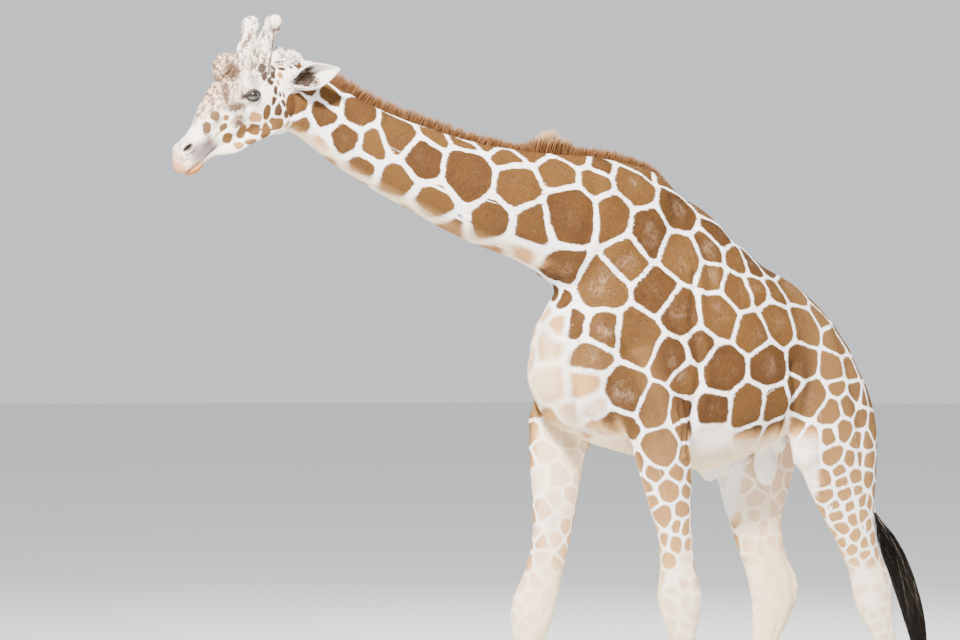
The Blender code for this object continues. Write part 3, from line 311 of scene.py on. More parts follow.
def ring(centre, side, upward, half, above, below, full_above, full_below, count):
    """The points of one cross-section, a superellipse with its own height above and below."""
    points = []
    for c, s in round_the_clock(count):
        height, full = (above, full_above) if s >= 0 else (below, full_below)
        points.append(centre + side * (fuller(c, full) * half) + upward * (fuller(s, full) * height))
    return points


def bridged(loops, closed_ends=True):
    """A bmesh skin over loops of points, each loop a closed ring."""
    shape = bmesh.new()
    rings = [[shape.verts.new(p) for p in loop] for loop in loops]
    count = len(rings[0])
    for first, second in zip(rings, rings[1:]):
        for k in range(count):
            following = (k + 1) % count
            shape.faces.new((first[k], first[following], second[following], second[k]))
    if closed_ends:
        shape.faces.new(rings[0])
        shape.faces.new(rings[-1])
        bmesh.ops.recalc_face_normals(shape, faces=shape.faces)
    return shape


def tube(rows, up, spacing=0.03, count=RING_POINTS):
    """A closed bmesh swept through rows: x, y, z, half side, above, below, the two fullnesses."""
    rows = smooth_rows(rows, spacing)
    places = [Vector(row[:3]) for row in rows]
    loops = []
    for i, row in enumerate(rows):
        along = (places[min(i + 1, len(rows) - 1)] - places[max(i - 1, 0)]).normalized()
        upward = (up - up.dot(along) * along).normalized()
        side = upward.cross(along).normalized()
        loops.append(ring(places[i], side, upward, *row[3:], count))
    return bridged(loops)


def ball(centre, radii, turn=None):
    """A closed bmesh ellipsoid. turn is a rotation matrix."""
    shape = bmesh.new()
    bmesh.ops.create_icosphere(shape, subdivisions=4, radius=1)
    turn = turn or Matrix.Identity(4)
    place = Matrix.Translation(Vector(centre)) @ turn @ Matrix.Diagonal((*radii, 1))
    bmesh.ops.transform(shape, matrix=place, verts=shape.verts)
    return shape


def as_object(shape, name):
    mesh = bpy.data.meshes.new(name)
    shape.to_mesh(mesh)
    shape.free()
    return linked(name, mesh)


def linked(name, mesh):
    thing = bpy.data.objects.new(name, mesh)
    bpy.context.scene.collection.objects.link(thing)
    return thing


def joined(shapes, name):
    """All of these bmeshes as one object's mesh."""
    whole = bmesh.new()
    for shape in shapes:
        mesh = bpy.data.meshes.new("piece")
        shape.to_mesh(mesh)
        shape.free()
        whole.from_mesh(mesh)
        bpy.data.meshes.remove(mesh)
    return as_object(whole, name)


def applied(thing):
    """Replaces the object's mesh by what its modifiers make of it."""
    bpy.context.view_layer.update()
    state = bpy.context.evaluated_depsgraph_get()
    mesh = bpy.data.meshes.new_from_object(thing.evaluated_get(state))
    thing.modifiers.clear()
    thing.data = mesh
    return thing


def discard(thing):
    bpy.data.objects.remove(thing, do_unlink=True)


def fetched(items, field, width, kind=np.float32):
    """A field of every one of a mesh's items, in rows of this width."""
    values = np.empty(len(items) * width, kind)
    items.foreach_get(field, values)
    return values.reshape(-1, width)


def points_of(thing):
    return fetched(thing.data.vertices, "co", 3).astype(float)


def normals_of(thing):
    return fetched(thing.data.vertex_normals, "vector", 3).astype(float)


def values_of(thing, name):
    return fetched(thing.data.attributes[name].data, "value", 1)[:, 0].astype(float)


def give(thing, name, values):
    """Lets every point of the piece carry a number or a vector."""
    carried_by, values = thing.data.attributes, np.asarray(values, np.float32)
    kind, field = ("FLOAT", "value") if values.ndim == 1 else ("FLOAT_VECTOR", "vector")
    if name in carried_by:
        carried_by.remove(carried_by[name])
    carried_by.new(name, kind, "POINT").data.foreach_set(field, values.ravel())


def set_points(thing, points):
    thing.data.vertices.foreach_set("co", np.asarray(points, np.float32).ravel())
    thing.data.update()


def edges_of(thing):
    return fetched(thing.data.edges, "vertices", 2, np.int32)


def spread_over(edges, values, rounds):
    """Values at vertices, each drawn half way to the mean of its neighbours so many times."""
    first, second = edges.T
    count = len(values)
    degree = np.maximum(np.bincount(edges.ravel(), minlength=count), 1)
    columns = [np.array(column, float) for column in np.atleast_2d(values.T)]
    for _ in range(rounds):
        for c, column in enumerate(columns):
            total = np.bincount(first, column[second], count)
            total = total + np.bincount(second, column[first], count)
            columns[c] = 0.5 * column + 0.5 * total / degree
    return np.array(columns).T.reshape(values.shape)


def line_distance(points, line):
    """How far each point lies from a line of straight pieces, in as many dimensions as the line has."""
    line = np.array(line, float)
    nearest = np.full(len(points), np.inf)
    for a, b in zip(line, line[1:]):
        along = np.clip((points - a) @ (b - a) / ((b - a) @ (b - a)), 0, 1)
        nearest = np.minimum(nearest, lengths(points - a - along[:, None] * (b - a)))
    return nearest


# --- the skin's form --------------------------------------------------------------------------
HEAD_MIDDLE = np.array(on_head(0.28, 0.03))
HEAD_STRETCH, HEAD_REACH, HEAD_EASE = 3.5, 0.4, 0.9  # how much finer the head is, and out to where


def stretched(points, back=False):
    """Swells space round the head, so that an even mesh is finer there, or undoes that."""
    reach = np.linspace(0, 7, 1401)
    rate = 1 + (HEAD_STRETCH - 1) * (1 - ramp(reach, HEAD_REACH, HEAD_EASE))
    moved = np.concatenate([[0], np.cumsum((rate[1:] + rate[:-1]) / 2 * np.diff(reach))])
    away = points - HEAD_MIDDLE
    distance = lengths(away)
    wanted = np.interp(distance, moved, reach) if back else np.interp(distance, reach, moved)
    return HEAD_MIDDLE + away * (wanted / np.maximum(distance, 1e-9))[:, None]


# Round forms in the middle: the scrotum and what it hangs from, the sheath and its end, the breast
MIDDLE_FORMS = [
    ((0.62, 0.0, 1.61), (0.066, 0.052, 0.118)), ((0.64, 0.0, 1.72), (0.1, 0.075, 0.08)),
    ((0.33, 0.0, 1.59), (0.12, 0.032, 0.045)), ((0.285, 0.0, 1.56), (0.042, 0.028, 0.036)),
    ((-0.535, 0.0, 2.13), (0.135, 0.185, 0.27)),
]


def trunk_form():
    return tube([(x, 0, z, half, top - z, z - low, *full) for x, z, half, top, low, *full in TRUNK], UP)


def neck_form():
    return tube([(x, 0, z, half, deep, deep, full, full) for x, z, half, deep, full in NECK], UP)


def leg_form(rows, side):
    rows = [(x, side * out, z, half, deep, deep, full, full) for x, out, z, half, deep, full in rows]
    return tube(rows, FORWARD, 0.02)


def muscle_forms(table, side):
    forms = []
    for x, out, z, *radii, tilt in table[side]:
        forms.append(ball((x, side * out, z), radii, Matrix.Rotation(math.radians(tilt), 4, "Y")))
    return forms


def body_forms():
    forms = [trunk_form(), neck_form(), *[ball(*place_and_radii) for place_and_radii in MIDDLE_FORMS]]
    for side in SIDES:
        forms += [leg_form(legs[side], side) for legs in (FORELEGS, HINDLEGS, HEEL_CORDS)]
        forms += muscle_forms(MUSCLES, side) + muscle_forms(QUARTERS, side)
    tail = [(x, y, z, half, deep, deep, 2.0, 2.0) for x, y, z, half, deep in TAIL]
    forms.append(tube(tail, UP_AND_BACK, 0.02))
    return forms


def head_forms():
    """The skull and jaws, with the brow, cheek, nostril and lip forms on them."""
    rows = []
    for along, wide, half, roof, floor, *full in HEAD:
        rows.append((*on_head(along, wide), half, roof - wide, wide - floor, *full))
    forms = [tube(rows, HEAD_UP, 0.008, 64)]
    turn = Matrix((HEAD_ALONG, ACROSS, HEAD_UP)).transposed().to_4x4()  # turns X to the nose
    for place, radii in MIDDLE_BUMPS:
        forms.append(ball(on_head(*place), radii, turn))
    for side in SIDES:
        for (along, above, out), radii in SIDE_BUMPS:
            forms.append(ball(on_head(along, above, side * out), radii, turn))
        jaw = []
        for along, above, out, half, deep in JAW_BONE:
            jaw.append((*on_head(along, above, side * out), half, deep, deep, 2.2, 2.2))
        forms.append(tube(jaw, HEAD_UP, 0.02))
    return forms


def smoothed(thing, rounds, weight=None):
    """Smooths the mesh, more where weight is near 1."""
    soft = thing.modifiers.new("soft", "SMOOTH")
    soft.factor = 0.5
    soft.iterations = rounds
    if weight is not None:
        group = thing.vertex_groups.new(name="weight")
        for index in np.flatnonzero(weight > 0.01):
            group.add([int(index)], float(weight[index]), "REPLACE")
        soft.vertex_group = group.name
    applied(thing)
    thing.vertex_groups.clear()


def bare_form():
    """Every form of flesh fused into one closed skin, finer at the head."""
    thing = joined(body_forms() + head_forms(), "skin")
    set_points(thing, stretched(points_of(thing)))
    fuse = thing.modifiers.new("fuse", "REMESH")
    fuse.mode = "VOXEL"
    fuse.voxel_size = SKIN_VOXEL
    applied(thing)
    set_points(thing, stretched(points_of(thing), back=True))
    smoothed(thing, 14)
    x, _, z = points_of(thing).T
    smoothed(thing, 60, ramp(z, 1.7, 1.9) * (1 - ramp(x, -1.7, -1.8)))  # broad forms flow together
    return thing


# --- folds, furrows and features of the skin --------------------------------------------------
# Furrows (depth above 0) and ridges (below 0) on the flanks: points x and z, depth, half width, sides
BOTH = (LEFT, RIGHT)
FURROWS = [
    ([(-0.605, 2.46), (-0.585, 2.26), (-0.588, 2.1), (-0.545, 1.9), (-0.4, 1.73)], 0.02, 0.03, BOTH),
    ([(-0.1, 2.96), (-0.3, 2.76), (-0.44, 2.57), (-0.53, 2.4)], 0.009, 0.04, BOTH),
    ([(-0.16, 2.92), (-0.34, 2.7), (-0.42, 2.52)], -0.008, 0.045, BOTH),
    ([(0.045, 2.5), (0.0, 2.3), (0.035, 2.07), (0.01, 1.88), (0.02, 1.72)], 0.012, 0.024, BOTH),
    ([(0.1, 2.76), (0.13, 2.6), (0.11, 2.42)], 0.007, 0.03, BOTH),
    ([(-0.42, 2.28), (-0.3, 2.12), (-0.22, 1.94), (-0.16, 1.76)], 0.007, 0.026, BOTH),
    ([(0.565, 2.08), (0.59, 1.95), (0.57, 1.82), (0.635, 1.66)], 0.017, 0.026, BOTH),
    ([(0.335, 2.42), (0.42, 2.44), (0.52, 2.4)], -0.008, 0.04, BOTH),
    ([(0.4, 2.33), (0.5, 2.22), (0.54, 2.08)], 0.008, 0.05, BOTH),
    ([(0.9, 2.22), (0.915, 2.03), (0.955, 1.82), (0.985, 1.6)], 0.008, 0.03, (LEFT,)),
    ([(0.88, 2.22), (0.88, 2.03), (0.86, 1.82), (0.82, 1.6)], 0.008, 0.03, (RIGHT,)),
    ([(-0.085, 1.9), (-0.055, 1.8), (-0.065, 1.68)], 0.007, 0.011, (LEFT,)),
    ([(-0.045, 1.93), (-0.02, 1.82), (-0.035, 1.69)], 0.007, 0.01, (LEFT,)),
    ([(-0.46, 1.8), (-0.38, 1.735), (-0.33, 1.7)], 0.008, 0.012, BOTH),
    ([(-0.5, 1.86), (-0.42, 1.79), (-0.35, 1.76)], 0.005, 0.012, BOTH),
    ([(-0.42, 3.0), (-0.47, 2.84), (-0.52, 2.64)], 0.006, 0.035, BOTH),
]
# Fine upright wrinkles over the shoulder blade: middle x, top and bottom z
WRINKLES = [
    (-0.02, 2.66, 2.42), (0.03, 2.7, 2.46), (0.075, 2.64, 2.38), (0.27, 2.5, 2.36), (0.3, 2.46, 2.33),
]
# On the head: along it and above its axis
MOUTH = [
    (0.652, -0.037), (0.621, -0.034), (0.585, -0.03), (0.54, -0.028), (0.5, -0.019), (0.452, -0.01),
]
NOSTRIL, NOSTRIL_HALVES, NOSTRIL_LEAN = (0.57, 0.056), (0.0285, 0.0135), math.radians(-3)
FACE_CREST = [(0.262, 0.03), (0.33, 0.022), (0.42, 0.016)]
# Creases of the face: x and z, half width and depth
CREASES = [
    ([(-2.215, 3.4), (-2.235, 3.362), (-2.262, 3.33)], 0.004, 0.9),
    ([(-2.262, 3.335), (-2.272, 3.29), (-2.28, 3.245)], 0.0038, 0.9),
    ([(-2.196, 3.335), (-2.238, 3.312), (-2.256, 3.272)], 0.0026, 0.6),
    ([(-2.19, 3.316), (-2.222, 3.298), (-2.238, 3.262)], 0.0026, 0.6),
    ([(-2.155, 3.415), (-2.14, 3.388), (-2.128, 3.362)], 0.0036, 0.8),
    ([(-2.26, 3.205), (-2.215, 3.214), (-2.178, 3.217)], 0.0032, 0.5),
    ([(-2.245, 3.228), (-2.222, 3.2), (-2.228, 3.165)], 0.004, 0.4),
    ([(-2.462, 2.985), (-2.444, 2.972), (-2.424, 2.978)], 0.004, 0.5),
    ([(-2.33, 3.09), (-2.335, 3.05), (-2.352, 3.02)], 0.005, 0.4),
]
CRUST_PATCH = (-2.226, 3.366, 0.034)  # a raw patch beside the middle horn: x, z, half width
EYE_SLANT = math.radians(25)  # the eye's long axis, up towards the nose from the head's axis
EYE_HALF_LENGTH, EYE_HALF_HEIGHT = 0.0272, 0.0165  # of the opening between the lids
HEAD_BACK, NECK_START = -1.86, -1.9  # x where the face ends, and where the neck's patches begin


def places_from(points, origin, axes):
    """Places against an origin and three axes."""
    away = np.asarray(points) - np.array(origin)
    return np.stack([away @ np.array(axis) for axis in axes], axis=1)


def head_places(points):
    """Places along the head, above its axis and out from the middle, for points of the layout frame."""
    return places_from(points, HEAD_ORIGIN, (HEAD_ALONG, HEAD_UP, ACROSS))


def eye_places(points, side):
    """Places in an eye's own frame: forward along its slit, up across it, and out of the head."""
    return places_from(points, eye_place(side), eye_axes(side))


def eye_axes(side):
    forward = HEAD_ALONG * math.cos(EYE_SLANT) + HEAD_UP * math.sin(EYE_SLANT)
    lift = HEAD_UP * math.cos(EYE_SLANT) - HEAD_ALONG * math.sin(EYE_SLANT)
    return forward, lift, ACROSS * side


def turned(across, up, angle):
    """Flat places seen from axes that lean by this angle."""
    c, s = math.cos(angle), math.sin(angle)
    return across * c + up * s, up * c - across * s


def from_oval(across, up, half_across, half_up):
    """How far outside an oval each place is, below 0 inside."""
    measure = np.sqrt((across / half_across) ** 2 + (up / half_up) ** 2)
    return np.hypot(across, up) * (1 - 1 / np.maximum(measure, 1e-6))


def from_slit(places):
    """The same for the eye's opening."""
    return from_oval(places[:, 0], places[:, 1], EYE_HALF_LENGTH, EYE_HALF_HEIGHT)


def from_nostril(along, above):
    """The same for the oval of a nostril."""
    return from_oval(*turned(along - NOSTRIL[0], above - NOSTRIL[1], NOSTRIL_LEAN), *NOSTRIL_HALVES)


def bell(distance, width):
    """1 at no distance, and less and less out to about twice the width."""
    return np.exp(-((distance / width) ** 2))


def body_relief(points, normals):
    """How far furrows and folds push the skin in at each point."""
    push = np.zeros(len(points))
    flat = points[:, [0, 2]]
    facing = ramp(np.abs(normals[:, 1]), 0.05, 0.45)
    for line, depth, width, sides in FURROWS:
        away = line_distance(flat, line)
        for side in sides:
            here = (points[:, 1] * side > 0.04) * facing
            push += depth * bell(away, width) * here
            push -= 0.35 * depth * bell(away - 1.9 * width, width) * here  # the swell beside a furrow
    height = points[:, 2]
    for x, top, low in WRINKLES:
        wave = x + 0.012 * np.sin((height - low) * 19)
        ends = between(height, low - 0.04, low + 0.05, top - 0.05, top + 0.04)
        push += 0.0045 * bell(points[:, 0] - wave, 0.011) * ends * facing
    for legs, behind in ((FORELEGS, 0.22), (HINDLEGS, 0.2)):
        for side, rows in legs.items():
            line = [(x + behind * deep, side * out, z) for x, out, z, _, deep, _ in rows]
            push += tendon_groove(points, normals, [place for place in line if 0.3 < place[2] < 0.86])
    push -= 0.004 * bell(height - KNEE_HEIGHT, 0.05) * (points[:, 0] < 0.2)
    return push


def tendon_groove(points, normals, line):
    """A shallow groove down both sides of a shank, between the bone and the tendon."""
    flat, path = points[:, [0, 2]], [(x, z) for x, _, z in line]
    near = np.abs(points[:, 1] - line[0][1]) < 0.12
    inside = between(points[:, 2], 0.28, 0.36, 0.8, 0.88)
    facing = ramp(np.abs(normals[:, 1]), 0.3, 0.7)
    return 0.0055 * bell(line_distance(flat, path), 0.01) * near * inside * facing


def head_relief(points):
    """The same for the mouth line, nostrils, wrinkles and rough skin of the head."""
    push = np.zeros(len(points))
    place = head_places(points)
    face = np.flatnonzero((place[:, 0] > -0.12) & (points[:, 0] < HEAD_BACK) & (place[:, 1] > -0.2))
    along, above, out = place[face].T
    flat = place[face][:, :2]
    beside = ramp(np.abs(out), 0.012, 0.026)
    made = 0.0058 * bell(line_distance(flat, MOUTH), 0.0034) * ramp(along, 0.44, 0.47)
    slit = from_nostril(along, above)
    made += 0.021 * (1 - ramp(slit, -0.01, 0.0015)) * beside
    made -= 0.005 * bell(slit - 0.007, 0.0055) * beside
    made -= 0.003 * bell(line_distance(flat, FACE_CREST), 0.012)
    made += 0.0024 * bell(np.hypot(along - 0.505, above - 0.018), 0.012) * beside
    for side in SIDES:
        eye = eye_places(points[face], side)
        apart, turn = np.hypot(eye[:, 0], eye[:, 1]), np.arctan2(eye[:, 1], eye[:, 0])
        same = out * side > 0.02
        arcs = np.sin((apart - 0.034) / 0.0105 * 2 * math.pi + 0.8 * np.sin(3 * turn))
        sector = between(turn, -0.9, -0.2, 2.0, 2.6)
        band = between(apart, 0.036, 0.046, 0.075, 0.105)
        made += 0.0034 * arcs * sector * band * same
    spots = points[face]
    crust = ramp(above, 0.15, 0.215) * between(along, 0.02, 0.08, 0.3, 0.4)
    bridge = ramp(above, 0.1, 0.15) * between(along, 0.18, 0.26, 0.42, 0.52)
    for line, width, depth in CREASES:
        made += 0.0062 * depth * bell(line_distance(spots[:, [0, 2]], line), width) * beside
    made -= (0.006 * crust + 0.0038 * bridge) * rough(spots, 0.016)
    made -= (0.0034 * crust + 0.0018 * bridge) * rough(spots, 0.0075)
    made -= 0.0012 * rough(spots, 0.03)
    push[face] = made
    return push


def socket_relief(points):
    """Draws the skin in under the eyeballs and the inner edge of the lids."""
    push = np.zeros(len(points))
    for side in SIDES:
        eye = eye_places(points, side)
        close = (lengths(eye) < 0.075) & (points[:, 1] * side > 0.03)
        push += np.where(close, 0.022 * (1 - ramp(from_slit(eye), 0.001, 0.014)), 0)
    return push


def coat_depth(points):
    """How far the bare skin lies inside the outline of the coat."""
    muzzle = ramp(head_places(points)[:, 0], -0.05, 0.15) * (points[:, 0] < -1.9)
    low = ramp(points[:, 2], 1.0, 1.5)
    return 0.002 + 0.0024 * low * (1 - muzzle) - 0.0008 * muzzle


def skin_form():
    """The skin with all its relief, and a tree of its surface for pieces that sit on it."""
    thing = bare_form()
    cut_below(thing, HOOF_TOP)
    points, normals = points_of(thing), normals_of(thing)
    depth = coat_depth(points) + body_relief(points, normals) + head_relief(points)
    set_points(thing, points - normals * depth[:, None])
    surface = tree_of(thing)
    points = points_of(thing)
    sideways = np.sign(points[:, 1])[:, None] * np.array(ACROSS)
    set_points(thing, points - sideways * socket_relief(points)[:, None])
    thin = thing.modifiers.new("thin", "DECIMATE")
    thin.ratio = min(1.0, SKIN_TRIANGLES / (2 * len(thing.data.polygons)))
    thin.use_collapse_triangulate = True
    applied(thing)
    thing.data.shade_smooth()
    return thing, surface


def cut_below(thing, height):
    """Cuts the feet off flat at the coronets, where the hooves begin, and closes them."""
    shape = bmesh.new()
    shape.from_mesh(thing.data)
    found = bmesh.ops.bisect_plane(
        shape, geom=[*shape.verts, *shape.edges, *shape.faces], dist=1e-7,
        plane_co=(0, 0, height), plane_no=-UP, clear_outer=True,
    )
    rim = [e for e in found["geom_cut"] if isinstance(e, bmesh.types.BMEdge)]
    bmesh.ops.triangle_fill(shape, edges=rim, use_beauty=True)
    shape.to_mesh(thing.data)
    shape.free()


def tree_of(thing):
    faces = [tuple(face.vertices) for face in thing.data.polygons]
    return BVHTree.FromPolygons([Vector(p) for p in points_of(thing)], faces)


# --- where each part of the body runs ---------------------------------------------------------
# The parts' numbers, in the order in which body_parts names them
ON_TRUNK, ON_NECK, ON_HEAD, ON_TAIL = 0, 1, 2, 7
ON_FORELEGS, FAR_FORELEG = (3, 4), 4
ON_LEGS = (3, 4, 5, 6)


def body_parts():
    """Each part's middle line, half width and half depth, and which way its chart opens."""
    trunk = [(x, 0, (top + low) / 2, half, (top - low) / 2) for x, _, half, top, low, *_ in TRUNK]
    neck = [(x, 0, z, half, deep) for x, z, half, deep, _ in NECK if x < -0.4]
    head = [(*on_head(along, (roof + floor) / 2), half, (roof - floor) / 2)
            for along, _, half, roof, floor, *_ in HEAD]
    parts = {"trunk": (trunk, UP), "neck": (neck, UP), "head": (head, HEAD_UP)}
    for kind, legs in (("foreleg", FORELEGS), ("hindleg", HINDLEGS)):
        for side, rows in legs.items():
            line = [(x, side * out, z, half, deep) for x, out, z, half, deep, _ in rows]
            parts[f"{kind}_{SIDES[side]}"] = (line, ACROSS * side)
    parts["tail"] = (TAIL, UP_AND_BACK)
    return parts


class Chart:
    """One part's middle line, and every point's place against it."""

    def __init__(self, rows, up, points):
        fine = smooth_rows(rows, 0.02)
        line, halves = fine[:, :3], np.maximum(fine[:, 3:5], 0.012)
        steps = lengths(np.diff(line, axis=0))
        where = np.concatenate([[0], np.cumsum(steps)])
        tangent = unit(np.gradient(line, axis=0))
        up = np.array(up, float)
        upward = unit(up - (tangent @ up)[:, None] * tangent)
        side = np.cross(upward, tangent)
        nearest = np.concatenate([closest_row(part, line) for part in np.array_split(points, 24)])
        away = points - line[nearest]
        along = (away * tangent[nearest]).sum(1)
        beside, above = (away * side[nearest]).sum(1), (away * upward[nearest]).sum(1)
        length = where[-1]
        self.along = where[nearest] + along
        self.angle = np.arctan2(beside, above)
        past = np.maximum(np.maximum(-self.along, self.along - length), 0)
        half, deep = halves[nearest].T
        least, round_it = np.minimum(half, deep), (beside / half) ** 2 + (above / deep) ** 2
        self.measure = np.sqrt(round_it + (past / least) ** 2)
        self.tangent = tangent[nearest]
        self.radius = np.hypot(beside, above)
        rim = np.sqrt(round_it)
        end = np.where(self.along > length / 2, 1, -1) * least
        self.unrolled = self.along + end * np.maximum(0, 1 - rim)


def closest_row(points, line):
    return ((points[:, None] - line[None]) ** 2).sum(2).argmin(1)


def charts_of(points):
    """Every part's chart of the points, and the part that each point belongs to."""
    charts = {name: Chart(rows, up, points) for name, (rows, up) in body_parts().items()}
    part = np.stack([chart.measure for chart in charts.values()]).argmin(0)
    return charts, part


def pick(charts, part, field):
    """A field of whichever chart each point belongs to."""
    stack = np.stack([getattr(chart, field) for chart in charts.values()])
    return stack[part, np.arange(len(part))]


def lie_of_coat(points, normals, charts, part, edges):
    """Which way the hair points: back and down the body, down the legs, down the face."""
    lie = np.array(pick(charts, part, "tangent"))
    lie[part == ON_TRUNK] += (0, 0, -0.45)
    lie[part == ON_NECK] += (0, 0, -0.25)
    behind = (part == ON_HEAD) & (head_places(points)[:, 0] < 0.1)
    lie[behind] *= -1
    lie = spread_over(edges, unit(lie), 40)
    lie -= (lie * normals).sum(1)[:, None] * normals
    return unit(lie)


# --- the markings -----------------------------------------------------------------------------
# Where the patches of the left side lie: x, z and about half the width of each. The right side has
# the same kind of patches, a little moved.
NECK_PATCHES = [
    (-1.77, 3.27, 0.045), (-1.63, 3.215, 0.072), (-1.445, 3.125, 0.085), (-1.25, 3.125, 0.03),
    (-1.09, 3.1, 0.03), (-0.89, 3.035, 0.05), (-1.81, 3.195, 0.052), (-1.9, 3.15, 0.04),
    (-1.71, 3.085, 0.06), (-1.565, 3.075, 0.06), (-1.325, 3.015, 0.085), (-1.11, 2.955, 0.11),
    (-0.87, 2.905, 0.088), (-1.625, 2.965, 0.058), (-1.45, 2.915, 0.064), (-1.26, 2.815, 0.086),
    (-0.985, 2.735, 0.092), (-0.775, 2.715, 0.085),
]
SHOULDER_PATCHES = [
    (-0.625, 2.975, 0.075), (-0.4, 3.02, 0.04), (-0.45, 2.94, 0.052), (-0.24, 2.925, 0.082),
    (0.005, 2.825, 0.088), (-0.595, 2.775, 0.125), (-0.39, 2.775, 0.085), (-0.195, 2.7, 0.085),
    (-0.6, 2.545, 0.075), (-0.425, 2.46, 0.1), (-0.31, 2.575, 0.085), (-0.015, 2.59, 0.095),
    (-0.17, 2.44, 0.08), (-0.055, 2.33, 0.09), (-0.575, 2.385, 0.036), (-0.565, 2.275, 0.026),
    (-0.455, 2.255, 0.066), (-0.29, 2.215, 0.098), (0.135, 2.325, 0.088), (-0.365, 1.975, 0.09),
    (-0.22, 1.905, 0.066), (-0.135, 2.12, 0.078), (-0.06, 2.035, 0.056), (0.03, 2.19, 0.048),
    (0.155, 2.07, 0.086), (0.12, 1.885, 0.052), (-0.085, 1.885, 0.045), (-0.05, 1.79, 0.028),
    (-0.175, 1.705, 0.075), (-0.035, 1.665, 0.036), (-0.265, 1.635, 0.03),
]
FLANK_PATCHES = [
    (0.16, 2.63, 0.066), (0.24, 2.7, 0.06), (0.305, 2.585, 0.064), (0.42, 2.56, 0.05),
    (0.14, 2.51, 0.055), (0.265, 2.445, 0.074), (0.385, 2.45, 0.055), (0.515, 2.43, 0.05),
    (0.33, 2.235, 0.076), (0.49, 2.29, 0.085), (0.67, 2.275, 0.092), (0.79, 2.315, 0.045),
    (0.86, 2.2, 0.064), (0.405, 2.09, 0.09), (0.63, 2.1, 0.08), (0.81, 2.07, 0.064),
    (0.925, 2.06, 0.045), (0.295, 1.9, 0.084), (0.455, 1.905, 0.064), (0.585, 1.99, 0.038),
]
THIGH_PATCHES = [
    (0.685, 1.93, 0.09), (0.775, 1.865, 0.07), (0.825, 1.98, 0.045), (0.885, 1.89, 0.06),
    (0.94, 1.955, 0.048), (0.985, 1.94, 0.03), (0.955, 1.82, 0.04), (0.635, 1.775, 0.034),
    (0.685, 1.735, 0.055), (0.775, 1.74, 0.05), (0.855, 1.775, 0.055), (0.945, 1.725, 0.046),
    (1.01, 1.72, 0.04), (0.685, 1.62, 0.045), (0.805, 1.655, 0.055), (0.905, 1.63, 0.035),
    (0.965, 1.63, 0.032), (1.03, 1.625, 0.036), (0.76, 1.545, 0.045), (0.845, 1.58, 0.036),
    (0.865, 1.525, 0.036), (0.94, 1.545, 0.04), (1.02, 1.535, 0.032), (0.885, 1.465, 0.04),
    (0.955, 1.48, 0.03), (0.79, 1.46, 0.034), (0.915, 1.405, 0.03), (0.985, 1.43, 0.035),
    (0.84, 1.41, 0.026), (0.86, 1.365, 0.03), (0.94, 1.345, 0.034), (0.995, 1.365, 0.034),
    (1.04, 1.42, 0.03), (0.965, 1.255, 0.03), (1.04, 1.3, 0.026), (1.02, 1.225, 0.026),
    (0.935, 1.18, 0.03), (1.03, 1.165, 0.024), (0.99, 1.13, 0.024), (1.11, 1.17, 0.022),
]
FOREARM_PATCHES = [
    (-0.085, 1.59, 0.03), (-0.22, 1.54, 0.035), (-0.13, 1.515, 0.048), (-0.02, 1.51, 0.028),
    (-0.055, 1.425, 0.034), (-0.145, 1.395, 0.044), (-0.075, 1.355, 0.022), (-0.025, 1.345, 0.028),
    (-0.075, 1.265, 0.032), (-0.12, 1.28, 0.022), (-0.01, 1.26, 0.022), (-0.1, 1.195, 0.032),
]
# Paler ones: x, z, half width and how strong, on the breast, the far legs and below the knees
PALE_PATCHES = [
    (-0.525, 2.13, 0.06, 0.85), (-0.53, 2.0, 0.058, 0.5), (-0.315, 1.735, 0.04, 0.5),
    (-0.8, 2.615, 0.045, 0.7), (-1.8, 3.06, 0.034, 0.6), (-0.46, 1.9, 0.045, 0.3),
    (-0.54, 1.41, 0.04, 0.85), (-0.495, 1.455, 0.028, 0.75), (-0.57, 1.56, 0.038, 0.45),
    (-0.43, 1.42, 0.028, 0.5), (-0.57, 1.31, 0.028, 0.65), (-0.5, 1.28, 0.03, 0.75),
    (-0.565, 1.19, 0.028, 0.7), (-0.54, 1.13, 0.024, 0.55), (-0.5, 1.36, 0.02, 0.5),
    (-0.03, 1.135, 0.024, 0.4), (-0.09, 1.1, 0.018, 0.25), (-0.02, 1.2, 0.02, 0.5),
    (0.53, 1.41, 0.04, 0.34), (0.7, 1.37, 0.022, 0.28), (0.76, 1.29, 0.03, 0.28),
    (0.62, 1.28, 0.03, 0.2), (0.83, 1.115, 0.028, 0.4), (0.84, 1.06, 0.022, 0.35),
    (0.67, 1.06, 0.028, 0.18), (0.74, 1.15, 0.024, 0.16), (1.02, 1.06, 0.022, 0.4),
    (1.09, 1.06, 0.022, 0.35), (1.06, 0.95, 0.024, 0.22), (0.13, 1.745, 0.045, 0.16),
]
# On the front of the breast: x, y, z, half width and how strong
BREAST_PATCHES = [
    (-0.645, -0.045, 2.175, 0.062, 0.42), (-0.65, -0.07, 2.01, 0.075, 0.42),
    (-0.62, -0.1, 2.285, 0.034, 0.5), (-0.6, -0.11, 1.855, 0.036, 0.4), (-0.64, 0.06, 2.12, 0.06, 0.4),
    (-0.61, 0.11, 2.24, 0.045, 0.45), (-0.63, 0.08, 1.95, 0.05, 0.35), (-0.6, 0.02, 2.34, 0.04, 0.45),
]
